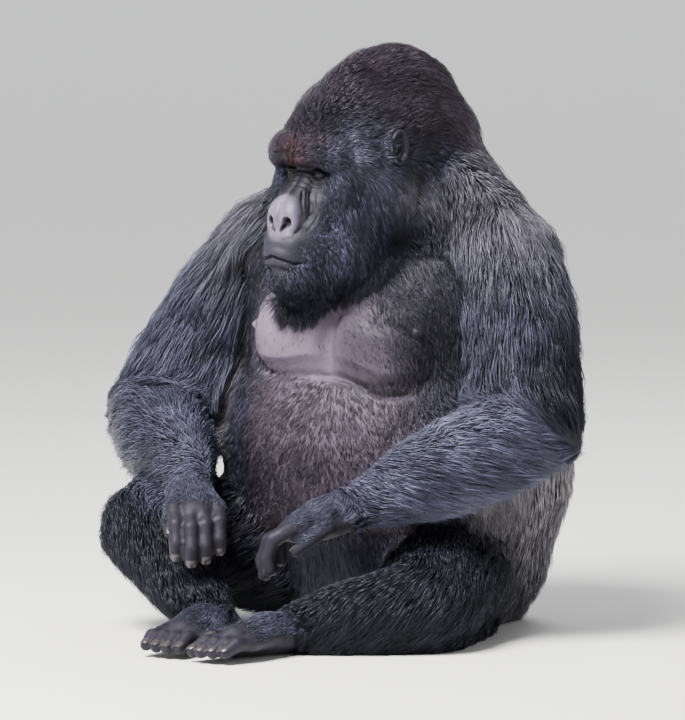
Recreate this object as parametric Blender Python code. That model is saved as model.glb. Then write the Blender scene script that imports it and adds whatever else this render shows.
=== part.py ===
"""Seated silverback mountain gorilla, life size.

Metres, +Z up. The trunk faces -Y, so the animal's own left is +X. Each mass of the body is laid
out in a working frame whose Z axis is the trunk's upright line, fused into one closed skin for each
of five chains (trunk with head, two arms, two legs), and then parted by thin cuts into the parts
that a keeper would name. The surface is the outside of the coat.
"""
import math

import bmesh
import bpy
from mathutils import Euler, Matrix, Vector

# ---------------------------------------------------------------- driving dimensions, metres
GAP = 0.0004
SIDES = {"left": 1.0, "right": -1.0}

TRUNK_VOXEL = 0.016
LIMB_VOXEL = 0.014
HEAD_VOXEL = 0.0090
DIGIT_VOXEL = 0.0060
EAR_VOXEL = 0.0030

# Colour and roughness of each finish.
FINISHES = {
    "coat": ((0.030, 0.029, 0.033, 1.0), 0.80),
    "saddle": ((0.110, 0.106, 0.106, 1.0), 0.85),
    "skin": ((0.045, 0.040, 0.043, 1.0), 0.55),
    "eye": ((0.045, 0.022, 0.012, 1.0), 0.10),
}

# How many triangles each chain keeps.
TRUNK_FACES = 1260
HEAD_FACES = 1760
ARM_FACES = 370
HAND_FACES = 420
LEG_FACES = 320
FOOT_FACES = 360
EAR_FACES = 70

# The trunk: height, half width, front and back of each level.
TRUNK_LEVELS = (
    (-0.030, 0.200, -0.120, 0.215),
    (0.050, 0.255, -0.175, 0.280),
    (0.150, 0.298, -0.225, 0.315),
    (0.270, 0.346, -0.268, 0.320),
    (0.370, 0.346, -0.285, 0.308),
    (0.450, 0.320, -0.268, 0.302),
    (0.510, 0.300, -0.238, 0.294),
    (0.600, 0.300, -0.215, 0.284),
    (0.700, 0.285, -0.180, 0.262),
    (0.780, 0.248, -0.130, 0.245),
    (0.850, 0.190, -0.090, 0.225),
    (0.920, 0.150, -0.060, 0.195),
    (0.980, 0.110, -0.040, 0.150),
)
# Muscles of the trunk's left half, which its right half mirrors: centre, radii and turn in degrees.
BREAST = ((0.098, -0.150, 0.588), (0.118, 0.098, 0.082), (-14.0, 0.0, 12.0))
SHOULDER_GIRDLE = ((0.205, -0.020, 0.690), (0.120, 0.120, 0.095), (0.0, 20.0, 0.0))
BACK = ((0.160, 0.130, 0.640), (0.140, 0.130, 0.160), (0.0, 0.0, 0.0))
BUTTOCK = ((0.155, 0.070, 0.130), (0.135, 0.180, 0.140), (0.0, 0.0, 0.0))
# Neck and the muscle from neck to shoulder, as stations of x, y, z and radius.
NECK = ((0.000, 0.085, 0.720, 0.170), (0.006, 0.055, 0.830, 0.165),
        (0.010, 0.015, 0.920, 0.150), (0.015, -0.010, 0.980, 0.120))
TRAPEZIUS = ((0.100, 0.060, 0.830, 0.100), (0.170, 0.030, 0.800, 0.098), (0.240, 0.005, 0.750, 0.092))
# Where the trunk is parted: a point of each cut and its direction.
THROAT = ((0.0, -0.220, 0.650), (0.0, -0.766, 0.643))
NECK_BASE = ((0.0, 0.0, 0.760), (0.0, -0.200, 0.980))
CHEST_BASE = ((0.0, 0.0, 0.490), (0.0, 0.0, 1.0))
BELLY_BASE = ((0.0, 0.0, 0.200), (0.0, 0.0, 1.0))
THINNING_MARGIN = 0.012
TRUNK_SQUARENESS = 2.25
TRUNK_RING_POINTS = 40

# The head: the midpoint between its ears, and how far it looks to its right.
HEAD_AT = (-0.010, -0.127, 0.940)
HEAD_TURN = math.radians(-17.0)
# Places in the head are ahead of, left of and above that midpoint, and radii are in the same order.
EAR_AHEAD = -0.006
EAR_OUT = 0.116
EAR_RADII = (0.0215, 0.0125, 0.0370)
EAR_CUP_AT = (-0.001, 0.1295, -0.002)
EAR_CUP_RADII = (0.0130, 0.0090, 0.0260)
EYE_AT = (0.1240, 0.0370, -0.0510)
EYE_RADIUS = 0.0125
SOCKET_AHEAD = 0.014
SOCKET_RADII = (0.0200, 0.0200, 0.0125)

# Joints of the limbs, and how thick each limb is at parts of its length.
SHOULDER = {"left": (0.250, -0.010, 0.725), "right": (-0.268, 0.020, 0.725)}
ELBOW = {"left": (0.400, -0.135, 0.415), "right": (-0.470, -0.130, 0.400)}
WRIST = {"left": (0.125, -0.385, 0.262), "right": (-0.228, -0.375, 0.280)}
KNUCKLES = {"left": (0.030, -0.425, 0.225), "right": (-0.168, -0.460, 0.245)}
FINGER_REACH = (0.94, 1.04, 1.00, 0.86)
FINGER_SPACING = 0.0280
TOE_REACH = (0.98, 1.00, 0.92, 0.80)
TOE_SPACING = 0.0255
HIP = {"left": (0.150, -0.010, 0.122), "right": (-0.150, -0.010, 0.125)}
KNEE = {"left": (0.285, -0.365, 0.086), "right": (-0.365, -0.325, 0.195)}
ANKLE = {"left": (0.080, -0.530, 0.051), "right": (-0.105, -0.500, 0.052)}
TOES = {"left": (0.012, -0.745, 0.025), "right": (-0.085, -0.720, 0.025)}
UPPER_ARM_GIRTH = ((0.0, 0.108), (0.30, 0.112), (0.65, 0.106), (1.0, 0.085))
FOREARM_GIRTH = ((0.0, 0.083), (0.30, 0.095), (0.65, 0.084), (1.0, 0.052))
THIGH_GIRTH = ((0.0, 0.130), (0.40, 0.130), (0.75, 0.112), (1.0, 0.092))
SHIN_GIRTH = ((0.0, 0.088), (0.35, 0.082), (0.70, 0.068), (1.0, 0.052))
DELTOID_RADII = (0.112, 0.115, 0.108)
# The shaggy hair that hangs inside the upper arm.
SHAG_ALONG = 0.66
SHAG_OFFSET = (-0.052, -0.022, -0.055)
SHAG_RADII = (0.078, 0.082, 0.110)


# ---------------------------------------------------------------- making shapes
def smooth_between(values, steps):
    """Points of a smooth curve through values, which are tuples of equal length."""
    points = [Vector(v) for v in values]
    ends = [2 * points[0] - points[1]] + points + [2 * points[-1] - points[-2]]
    out = []
    for i in range(len(points) - 1):
        a, b, c, d = ends[i:i + 4]
        for step in range(steps):
            t = step / steps
            out.append(0.5 * (2 * b + (c - a) * t + (2 * a - 5 * b + 4 * c - d) * t * t
                              + (3 * b - a - 3 * c + d) * t ** 3))
    out.append(points[-1])
    return out


def bridge(bm, rings):
    """Faces between rings of equal size, with both ends closed."""
    count = len(rings[0])
    for low, high in zip(rings, rings[1:]):
        for i in range(count):
            j = (i + 1) % count
            bm.faces.new((low[i], low[j], high[j], high[i]))
    bm.faces.new(list(reversed(rings[0])))
    bm.faces.new(rings[-1])


def add_ball(bm, at, radii, turn=(0.0, 0.0, 0.0)):
    """An ellipsoid, with turn in degrees."""
    rotation = Euler([math.radians(a) for a in turn]).to_matrix().to_4x4()
    matrix = Matrix.Translation(at) @ rotation @ Matrix.Diagonal((*radii, 1.0))
    bmesh.ops.create_icosphere(bm, subdivisions=3, radius=1.0, matrix=matrix)


def add_limb(bm, stations, sides=20, steps=5):
    """A round tapering limb through stations of (x, y, z, radius), with round ends."""
    path = smooth_between([Vector(s) for s in stations], steps)
    centres = [p.to_3d() for p in path]
    rings = []
    up = Vector((0.0, 0.0, 1.0))
    for i, station in enumerate(path):
        ahead = centres[min(i + 1, len(path) - 1)] - centres[max(i - 1, 0)]
        ahead.normalize()
        across = ahead.cross(up)
        if across.length < 0.05:
            across = ahead.cross(Vector((0.0, 1.0, 0.0)))
        across.normalize()
        over = across.cross(ahead)
        ring = []
        for k in range(sides):
            angle = math.tau * k / sides
            spoke = math.cos(angle) * across + math.sin(angle) * over
            ring.append(bm.verts.new(centres[i] + station[3] * spoke))
        rings.append(ring)
    bridge(bm, rings)
    for end in (path[0], path[-1]):
        add_ball(bm, end.to_3d(), (end[3],) * 3)


def add_segment(bm, start, end, girth):
    """A straight limb from joint to joint, with girth as pairs of part of the length and radius."""
    add_limb(bm, [(*start.lerp(end, along), radius) for along, radius in girth])


def add_trunk(bm, levels):
    """Superellipse levels joined from the seat up, each with its own front and back."""
    rings = []
    for height, half_width, front, back in smooth_between(levels, 4):
        middle = 0.5 * (front + back)
        half_depth = 0.5 * (back - front)
        ring = []
        for k in range(TRUNK_RING_POINTS):
            angle = math.tau * k / TRUNK_RING_POINTS
            c = math.cos(angle)
            s = math.sin(angle)
            power = 2.0 / TRUNK_SQUARENESS
            x = half_width * math.copysign(abs(c) ** power, c)
            y = middle + half_depth * math.copysign(abs(s) ** power, s)
            ring.append(bm.verts.new((x, y, height)))
        rings.append(ring)
    bridge(bm, rings)


def new_object(name, bm):
    """A mesh object from bm, with its faces pointing out."""
    bmesh.ops.recalc_face_normals(bm, faces=bm.faces)
    mesh = bpy.data.meshes.new(name)
    bm.to_mesh(mesh)
    bm.free()
    obj = bpy.data.objects.new(name, mesh)
    bpy.context.scene.collection.objects.link(obj)
    return obj


def freeze(obj):
    """Replaces an object's mesh by what its modifiers make of it."""
    graph = bpy.context.evaluated_depsgraph_get()
    mesh = bpy.data.meshes.new_from_object(obj.evaluated_get(graph))
    obj.modifiers.clear()
    obj.data = mesh


def fuse(obj, voxel, rounds):
    """Turns overlapping masses into one rounded closed skin."""
    remesh = obj.modifiers.new("skin", "REMESH")
    remesh.mode = "VOXEL"
    remesh.voxel_size = voxel
    smooth = obj.modifiers.new("rounding", "SMOOTH")
    smooth.factor = 0.5
    smooth.iterations = rounds
    freeze(obj)
    keep_largest(obj)


def thin(obj, faces):
    """Leaves about so many triangles, fewest where the skin is flattest."""
    modifier = obj.modifiers.new("thinning", "DECIMATE")
    modifier.ratio = min(1.0, faces / (2 * len(obj.data.polygons)))
    modifier.use_collapse_triangulate = True
    freeze(obj)


def islands(bm):
    """The separate bodies of bm, as lists of faces."""
    left = set(bm.faces)
    found = []
    while left:
        start = left.pop()
        body = [start]
        queue = [start]
        while queue:
            face = queue.pop()
            for edge in face.edges:
                for other in edge.link_faces:
                    if other in left:
                        left.remove(other)
                        body.append(other)
                        queue.append(other)
        found.append(body)
    return found


def keep_largest(obj):
    """Deletes every separate scrap but the biggest body."""
    bm = bmesh.new()
    bm.from_mesh(obj.data)
    bodies = sorted(islands(bm), key=lambda body: sum(f.calc_area() for f in body))
    scraps = [face for body in bodies[:-1] for face in body]
    bmesh.ops.delete(bm, geom=scraps, context="FACES")
    bm.to_mesh(obj.data)
    bm.free()


def swollen(obj, amount):
    """A copy of obj moved outward along its normals, to cut a clearance with."""
    copy = obj.copy()
    copy.data = obj.data.copy()
    bpy.context.scene.collection.objects.link(copy)
    normals = [v.normal.copy() for v in copy.data.vertices]
    for vertex, normal in zip(copy.data.vertices, normals):
        vertex.co += amount * normal
    return copy


def carve(obj, cutter):
    """Takes cutter out of obj and deletes cutter."""
    modifier = obj.modifiers.new("carve", "BOOLEAN")
    modifier.operation = "DIFFERENCE"
    modifier.solver = "EXACT"
    modifier.object = cutter
    freeze(obj)
    bpy.data.objects.remove(cutter)
    keep_largest(obj)
    tidy(obj)


def tidy(obj):
    """Triangles only, with no slivers."""
    bm = bmesh.new()
    bm.from_mesh(obj.data)
    bmesh.ops.triangulate(bm, faces=bm.faces)
    bmesh.ops.dissolve_degenerate(bm, dist=1e-5, edges=bm.edges)
    bmesh.ops.triangulate(bm, faces=bm.faces)
    bm.to_mesh(obj.data)
    bm.free()


def sliced(obj, name, at, normal):
    """A copy of obj with what lies ahead of a plane cut off and the cut closed flat."""
    bm = bmesh.new()
    bm.from_mesh(obj.data)
    geometry = bm.verts[:] + bm.edges[:] + bm.faces[:]
    cut = bmesh.ops.bisect_plane(bm, geom=geometry, dist=1e-6, plane_co=at, plane_no=normal,
                                 clear_outer=True)
    edges = [e for e in cut["geom_cut"] if isinstance(e, bmesh.types.BMEdge)]
    bmesh.ops.holes_fill(bm, edges=[e for e in edges if e.is_valid and e.is_boundary], sides=0)
    bmesh.ops.triangulate(bm, faces=bm.faces)
    return new_object(name, bm)


def part(obj, at, normal, behind, ahead):
    """Cuts obj by a thin plane into two named objects and deletes obj."""
    normal = Vector(normal).normalized()
    at = Vector(at)
    first = sliced(obj, behind, at - 0.5 * GAP * normal, normal)
    second = sliced(obj, ahead, at + 0.5 * GAP * normal, -normal)
    bpy.data.objects.remove(obj)
    keep_largest(first)
    keep_largest(second)
    return first, second


def seat(obj):
    """Cuts obj flat at the floor."""
    flat = sliced(obj, obj.name, Vector((0.0, 0.0, 0.0)), Vector((0.0, 0.0, -1.0)))
    name = obj.name
    bpy.data.objects.remove(obj)
    flat.name = name
    return flat


# ---------------------------------------------------------------- the head, in its own frame
def head_place(forward, left, height):
    """A place by its distance ahead of, left of and above the midpoint between the ears."""
    turn = Matrix.Rotation(HEAD_TURN, 3, "Z")
    return Vector(HEAD_AT) + turn @ Vector((left, -forward, height))


def head_ball(bm, at, radii, pitch=0.0):
    """An ellipsoid of the head: radii forward, sideways and up; pitch tips its front down."""
    forward, sideways, up = radii
    add_ball(bm, head_place(*at), (sideways, forward, up), (pitch, 0.0, math.degrees(HEAD_TURN)))


def head_pair(bm, at, radii, pitch=0.0):
    """The same ellipsoid on both sides of the head."""
    forward, out, height = at
    for sign in SIDES.values():
        head_ball(bm, (forward, sign * out, height), radii, pitch)


def head_bar(bm, stations):
    """A round bar in the head, through stations of (forward, left, height, radius)."""
    add_limb(bm, [(*head_place(*s[:3]), s[3]) for s in stations], sides=16, steps=4)


def add_head(bm):
    """The masses of the head, from the braincase forward to the lips and down to the beard."""
    # braincase, crest and the muscles of temple and nape
    head_ball(bm, (-0.045, 0.0, 0.015), (0.185, 0.118, 0.125))
    head_ball(bm, (-0.098, 0.0, 0.062), (0.172, 0.078, 0.129))
    head_ball(bm, (0.010, 0.0, 0.020), (0.135, 0.088, 0.095))
    head_pair(bm, (-0.045, 0.045, 0.035), (0.125, 0.068, 0.105))
    head_ball(bm, (-0.150, 0.0, -0.010), (0.157, 0.115, 0.130))
    # brow
    head_bar(bm, ((0.055, 0.104, -0.024, 0.018), (0.110, 0.080, -0.012, 0.028),
                  (0.142, 0.032, -0.002, 0.031), (0.142, -0.032, -0.002, 0.031),
                  (0.110, -0.080, -0.012, 0.028), (0.055, -0.104, -0.024, 0.018)))
    head_ball(bm, (0.098, 0.0, 0.024), (0.068, 0.080, 0.050), 30.0)
    head_pair(bm, (0.072, 0.086, -0.052), (0.044, 0.028, 0.050))
    # middle of the face, cheekbones and nose
    head_ball(bm, (0.060, 0.0, -0.090), (0.082, 0.100, 0.100))
    head_pair(bm, (0.092, 0.070, -0.082), (0.042, 0.034, 0.033))
    head_bar(bm, ((0.110, 0.0, -0.045, 0.020), (0.138, 0.0, -0.082, 0.026),
                  (0.168, 0.0, -0.124, 0.036)))
    head_pair(bm, (0.177, 0.026, -0.135), (0.027, 0.023, 0.026))
    # muzzle, lips and chin
    head_ball(bm, (0.120, 0.0, -0.180), (0.092, 0.078, 0.058), 6.0)
    head_ball(bm, (0.136, 0.0, -0.208), (0.080, 0.066, 0.046))
    head_ball(bm, (0.130, 0.0, -0.246), (0.080, 0.060, 0.044), 6.0)
    # cheeks, jaw and beard
    head_pair(bm, (0.018, 0.055, -0.110), (0.108, 0.076, 0.120), 10.0)
    head_pair(bm, (0.052, 0.045, -0.195), (0.098, 0.064, 0.084), 24.0)
    head_ball(bm, (0.092, 0.0, -0.256), (0.088, 0.066, 0.060), 12.0)


def eye_sockets():
    """The hollows in front of both eyes."""
    bm = bmesh.new()
    forward, out, height = EYE_AT
    head_pair(bm, (forward + SOCKET_AHEAD, out, height), SOCKET_RADII)
    return new_object("sockets", bm)


def eye(name, sign):
    """A round eyeball."""
    bm = bmesh.new()
    forward, out, height = EYE_AT
    bmesh.ops.create_uvsphere(bm, u_segments=12, v_segments=7, radius=EYE_RADIUS)
    bmesh.ops.translate(bm, verts=bm.verts, vec=head_place(forward, sign * out, height))
    return new_object(name, bm)


def ear(name, sign):
    """A small cupped ear lying back against the head."""
    bm = bmesh.new()
    head_ball(bm, (EAR_AHEAD, sign * EAR_OUT, 0.0), EAR_RADII)
    obj = new_object(name, bm)
    fuse(obj, EAR_VOXEL, 3)
    thin(obj, EAR_FACES)
    cup = bmesh.new()
    forward, out, height = EAR_CUP_AT
    head_ball(cup, (forward, sign * out, height), EAR_CUP_RADII)
    hollow = new_object("hollow", cup)
    thin(hollow, EAR_FACES)
    carve(obj, hollow)
    return obj


# ---------------------------------------------------------------- the five chains
def body_chain():
    """Trunk, neck and head in one skin."""
    bm = bmesh.new()
    add_trunk(bm, TRUNK_LEVELS)
    for sign in SIDES.values():
        for (x, y, z), radii, (pitch, roll, yaw) in (BREAST, SHOULDER_GIRDLE, BACK, BUTTOCK):
            add_ball(bm, (sign * x, y, z), radii, (pitch, sign * roll, sign * yaw))
        add_limb(bm, [(sign * x, y, z, radius) for x, y, z, radius in TRAPEZIUS])
    add_limb(bm, NECK)
    trunk = new_object("trunk", bm)
    fuse(trunk, TRUNK_VOXEL, 12)
    bm = bmesh.new()
    bm.from_mesh(trunk.data)
    bpy.data.objects.remove(trunk)
    add_head(bm)
    body = new_object("body", bm)
    fuse(body, HEAD_VOXEL, 5)
    return body


def arm_chain(side):
    """Shoulder to wrist, with the shaggy hair that hangs under the upper arm."""
    shoulder = Vector(SHOULDER[side])
    elbow = Vector(ELBOW[side])
    bm = bmesh.new()
    add_segment(bm, shoulder, elbow, UPPER_ARM_GIRTH)
    add_segment(bm, elbow, Vector(WRIST[side]), FOREARM_GIRTH)
    add_ball(bm, shoulder, DELTOID_RADII)
    inward, ahead, up = SHAG_OFFSET
    add_ball(bm, shoulder.lerp(elbow, SHAG_ALONG) + Vector((SIDES[side] * inward, ahead, up)), SHAG_RADII)
    arm = new_object("arm_" + side, bm)
    fuse(arm, LIMB_VOXEL, 6)
    thin(arm, ARM_FACES)
    return arm


def hand(side):
    """A broad palm, four curled fingers and a short thumb."""
    sign = SIDES[side]
    wrist = Vector(WRIST[side])
    knuckles = Vector(KNUCKLES[side])
    ahead = (knuckles - wrist).normalized()
    across = ahead.cross(Vector((0.0, 0.0, 1.0))).normalized() * -sign
    below = ahead.cross(across).normalized() * -sign
    bm = bmesh.new()
    add_limb(bm, ((*wrist, 0.046), (*wrist.lerp(knuckles, 0.5), 0.045), (*knuckles, 0.030)))
    for k, reach in enumerate(FINGER_REACH):
        out = (1.5 - k) * FINGER_SPACING
        base = knuckles + across * out - below * 0.006 - ahead * 0.007 * abs(k - 1)
        middle = base + reach * (ahead * 0.050 + below * 0.010)
        last = middle + reach * (ahead * 0.024 + below * 0.030)
        tip = last + reach * (ahead * 0.004 + below * 0.026)
        add_limb(bm, ((*wrist.lerp(base, 0.45), 0.024), (*base, 0.0195), (*middle, 0.0178),
                      (*last, 0.0165), (*tip, 0.0140)), sides=12, steps=2)
    base = wrist.lerp(knuckles, 0.40) + across * 0.036 + below * 0.012
    middle = base + ahead * 0.040 + across * 0.014 + below * 0.014
    tip = middle + ahead * 0.030 + below * 0.012
    add_limb(bm, ((*base, 0.0190), (*middle, 0.0155), (*tip, 0.0120)), sides=12, steps=2)
    obj = new_object("hand", bm)
    fuse(obj, DIGIT_VOXEL, 2)
    thin(obj, HAND_FACES)
    return obj


def leg_chain(side):
    """Hip to ankle."""
    knee = Vector(KNEE[side])
    bm = bmesh.new()
    add_segment(bm, Vector(HIP[side]), knee, THIGH_GIRTH)
    add_segment(bm, knee, Vector(ANKLE[side]), SHIN_GIRTH)
    leg = new_object("leg_" + side, bm)
    fuse(leg, LIMB_VOXEL, 6)
    thin(leg, LEG_FACES)
    return leg


def foot(side):
    """A flat foot on its sole, four toes ahead and the great toe set apart like a thumb."""
    ankle = Vector(ANKLE[side])
    toes = Vector(TOES[side])
    ahead = (toes - ankle).normalized()
    inward = Vector((0.0, 0.0, 1.0)).cross(ahead).normalized() * -SIDES[side]
    heel = ankle - ahead * 0.036 - Vector((0.0, 0.0, 0.018))
    ball = ankle.lerp(toes, 0.62)
    bm = bmesh.new()
    add_limb(bm, ((*heel, 0.040), (*ankle.lerp(toes, 0.28), 0.044), (*ball, 0.034)))
    for k, reach in enumerate(TOE_REACH):
        out = (k - 1.2) * -TOE_SPACING
        base = ball + inward * out
        bend = base + ahead * 0.048 * reach + Vector((0.0, 0.0, 0.006))
        tip = bend + ahead * 0.034 * reach - Vector((0.0, 0.0, 0.010))
        add_limb(bm, ((*ankle.lerp(base, 0.5), 0.026), (*base, 0.0195), (*bend, 0.0165),
                      (*tip, 0.0135)), sides=12, steps=2)
    base = ankle.lerp(toes, 0.26) + inward * 0.030
    bend = base + ahead * 0.052 + inward * 0.030
    tip = bend + ahead * 0.040 + inward * 0.004
    add_limb(bm, ((*base, 0.0240), (*bend, 0.0200), (*tip, 0.0165)), sides=12, steps=2)
    obj = new_object("foot_" + side, bm)
    fuse(obj, DIGIT_VOXEL, 2)
    thin(obj, FOOT_FACES)
    return obj


# ---------------------------------------------------------------- parting
def clear(scene):
    """Removes every object of the scene."""
    for obj in list(scene.objects):
        bpy.data.objects.remove(obj)


def across_joint(near, joint, far):
    """The direction through a bent joint, from its near part to its far part."""
    before = (Vector(joint) - Vector(near)).normalized()
    after = (Vector(far) - Vector(joint)).normalized()
    return (before + after).normalized()


def head_and_trunk(body):
    """Cuts one dense skin at the throat, thinning each side by itself."""
    at, normal = THROAT
    at = Vector(at)
    normal = Vector(normal).normalized()
    parts = []
    for name, faces, way in (("head", HEAD_FACES, -1.0), ("trunk", TRUNK_FACES, 1.0)):
        rough = sliced(body, "rough", at + way * THINNING_MARGIN * normal, way * normal)
        thin(rough, faces)
        clean = sliced(rough, name, at - way * 0.5 * GAP * normal, way * normal)
        keep_largest(clean)
        bpy.data.objects.remove(rough)
        parts.append(clean)
    bpy.data.objects.remove(body)
    return parts


def part_trunk(trunk):
    """Neck, chest, belly and hips."""
    rest, _ = part(trunk, *NECK_BASE, "rest", "neck")
    rest, _ = part(rest, *CHEST_BASE, "rest", "chest")
    part(rest, *BELLY_BASE, "hips", "belly")


def set_eyes_and_ears(head):
    """Makes both eyes and ears and lets them into the head."""
    carve(head, eye_sockets())
    for side, sign in SIDES.items():
        ball = eye("eye_" + side, sign)
        carve(head, swollen(ball, GAP))
        shell = ear("ear_" + side, sign)
        carve(head, swollen(shell, GAP))


def centre_on_floor(objects):
    """Moves everything so that the middle of its box stands over the origin."""
    points = [vertex.co for obj in objects for vertex in obj.data.vertices]
    middle = [0.5 * (min(p[i] for p in points) + max(p[i] for p in points)) for i in (0, 1)]
    for obj in objects:
        obj.data.transform(Matrix.Translation((-middle[0], -middle[1], 0.0)))


def finish(obj):
    """Gives a part its own material."""
    kind = "coat"
    if obj.name in ("hips", "belly"):
        kind = "saddle"
    if obj.name.startswith(("hand", "foot", "ear")):
        kind = "skin"
    if obj.name.startswith("eye"):
        kind = "eye"
    colour, roughness = FINISHES[kind]
    material = bpy.data.materials.new(obj.name)
    material.use_nodes = True
    shader = material.node_tree.nodes["Principled BSDF"]
    shader.inputs["Base Color"].default_value = colour
    shader.inputs["Roughness"].default_value = roughness
    shader.inputs["Metallic"].default_value = 0.0
    obj.data.materials.clear()
    obj.data.materials.append(material)


def build():
    """Models the five chains, clears each from its neighbours and parts them."""
    clear(bpy.context.scene)
    head, trunk = head_and_trunk(body_chain())
    trunk = seat(trunk)
    arms = {}
    hands = {}
    legs = {}
    feet = {}
    for side in SIDES:
        along = (Vector(WRIST[side]) - Vector(ELBOW[side])).normalized()
        arms[side], scrap = part(arm_chain(side), WRIST[side], along, "arm", "scrap")
        bpy.data.objects.remove(scrap)
        scrap, hands[side] = part(hand(side), WRIST[side], along, "scrap", "hand_" + side)
        bpy.data.objects.remove(scrap)
        legs[side] = seat(leg_chain(side))
        feet[side] = seat(foot(side))

    # nothing passes through its neighbour
    carve(feet["right"], swollen(feet["left"], GAP))
    for leg in legs.values():
        for other in (feet["left"], feet["right"]):
            carve(leg, swollen(other, GAP))
    for own in (hands["left"], hands["right"], arms["left"], arms["right"]):
        for leg in (legs["left"], legs["right"]):
            carve(leg, swollen(own, GAP))
    for limb in (*arms.values(), *hands.values(), *legs.values()):
        carve(trunk, swollen(limb, GAP))
    for arm in arms.values():
        carve(head, swollen(arm, GAP))

    part_trunk(trunk)
    set_eyes_and_ears(head)
    for side in SIDES:
        bend = across_joint(SHOULDER[side], ELBOW[side], WRIST[side])
        part(arms[side], ELBOW[side], bend, "upper_arm_" + side, "forearm_" + side)
        bend = across_joint(HIP[side], KNEE[side], ANKLE[side])
        part(legs[side], KNEE[side], bend, "thigh_" + side, "shin_" + side)

    parts = list(bpy.context.scene.objects)
    centre_on_floor(parts)
    for obj in parts:
        finish(obj)


build()
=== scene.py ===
"""Dresses the packed frame of a seated silverback gorilla: skin, eyes, nails, coat, floor and light.

The skin is one closed mesh. It starts as a fusing of the frame's flesh, sinks inside it by the depth
of the coat, and is then refined where it shows bare: face, ears, hands, feet and breast. Its mesh
carries the lie, length and colour of the hair, and the coat pieces read them from there.
"""
import math

import bmesh
import bpy
import numpy as np
from bpy.props import FloatProperty, FloatVectorProperty, PointerProperty
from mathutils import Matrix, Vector
from mathutils.bvhtree import BVHTree
from mathutils.kdtree import KDTree


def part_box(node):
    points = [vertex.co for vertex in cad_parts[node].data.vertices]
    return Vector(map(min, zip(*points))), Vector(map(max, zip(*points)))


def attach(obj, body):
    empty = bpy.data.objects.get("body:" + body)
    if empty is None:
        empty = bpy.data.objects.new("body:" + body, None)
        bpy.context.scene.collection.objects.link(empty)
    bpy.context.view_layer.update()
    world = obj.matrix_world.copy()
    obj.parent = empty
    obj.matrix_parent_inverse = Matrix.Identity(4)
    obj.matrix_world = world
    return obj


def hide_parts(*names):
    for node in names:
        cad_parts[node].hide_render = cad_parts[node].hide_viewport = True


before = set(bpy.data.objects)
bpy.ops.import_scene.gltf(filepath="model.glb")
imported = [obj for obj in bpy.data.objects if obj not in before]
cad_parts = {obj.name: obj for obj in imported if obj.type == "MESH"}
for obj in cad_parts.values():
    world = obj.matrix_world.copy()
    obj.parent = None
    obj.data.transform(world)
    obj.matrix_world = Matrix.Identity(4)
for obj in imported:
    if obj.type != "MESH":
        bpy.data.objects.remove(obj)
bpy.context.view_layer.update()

bl_info = {
    "name": "Seated Silverback",
    "version": (1, 0, 0),
    "blender": (4, 5, 0),
    "location": "View3D > Sidebar > Silverback",
    "description": "Skin, eyes, nails, coat and studio for a life-size seated gorilla",
    "category": "Object",
}

FLESH = sorted(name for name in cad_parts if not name.startswith("eye_"))
SIDES = {"left": 1.0, "right": -1.0}
FINE_PARTS = ("hand", "foot", "ear")


# ---------------------------------------------------------------- the plan, read from the frame
def box_centre(node):
    """The middle of a node's box."""
    low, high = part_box(node)
    return (low + high) / 2


EYE_CENTRES = {side: box_centre("eye_" + side) for side in SIDES}
EYE_BALL = (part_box("eye_left")[1].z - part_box("eye_left")[0].z) / 2
UP = Vector((0.0, 0.0, 1.0))
HEAD_LEFT = (EYE_CENTRES["left"] - EYE_CENTRES["right"]).normalized()
HEAD_FORWARD = HEAD_LEFT.cross(UP)
# The head's own frame starts midway between the ears. Places in it are ahead, left and above.
EYE_AT = (0.1240, 0.0370, -0.0510)
HEAD_AT = (EYE_CENTRES["left"] + EYE_CENTRES["right"]) / 2 - EYE_AT[0] * HEAD_FORWARD - EYE_AT[2] * UP
HEAD_AXES = np.array([HEAD_FORWARD, HEAD_LEFT, UP]).T
# The trunk's upright line stands on the floor here, and the trunk faces -Y.
TRUNK_AT = HEAD_AT - Vector((-0.010, -0.127, 0.940))


def planned(*place):
    """A place of the body, from the foot of the trunk's upright line."""
    return TRUNK_AT + Vector(place)


SHOULDER = {"left": planned(0.250, -0.010, 0.725), "right": planned(-0.268, 0.020, 0.725)}
ELBOW = {"left": planned(0.400, -0.135, 0.415), "right": planned(-0.470, -0.130, 0.400)}
WRIST = {"left": planned(0.125, -0.385, 0.262), "right": planned(-0.228, -0.375, 0.280)}
KNUCKLES = {"left": planned(0.030, -0.425, 0.225), "right": planned(-0.168, -0.460, 0.245)}
HIP = {"left": planned(0.150, -0.010, 0.122), "right": planned(-0.150, -0.010, 0.125)}
KNEE = {"left": planned(0.285, -0.365, 0.086), "right": planned(-0.365, -0.325, 0.195)}
ANKLE = {"left": planned(0.080, -0.530, 0.051), "right": planned(-0.105, -0.500, 0.052)}
TOES = {"left": planned(0.012, -0.745, 0.025), "right": planned(-0.085, -0.720, 0.025)}
FINGER_REACH = (0.94, 1.04, 1.00, 0.86)
FINGER_SPACING = 0.0280
TOE_REACH = (0.98, 1.00, 0.92, 0.80)
TOE_SPACING = 0.0255


# ---------------------------------------------------------------- small tools
def step_up(values, low, high):
    """0 below low, 1 above high and smooth between. High may be the smaller."""
    t = np.clip((values - low) / (high - low), 0.0, 1.0)
    return t * t * (3.0 - 2.0 * t)


def unit(vectors):
    """Rows made one long."""
    return vectors / np.maximum(np.linalg.norm(vectors, axis=-1, keepdims=True), 1e-9)


def rows_dot(a, b):
    """The dot product of each pair of rows."""
    return np.sum(a * b, axis=-1, keepdims=True)


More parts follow.
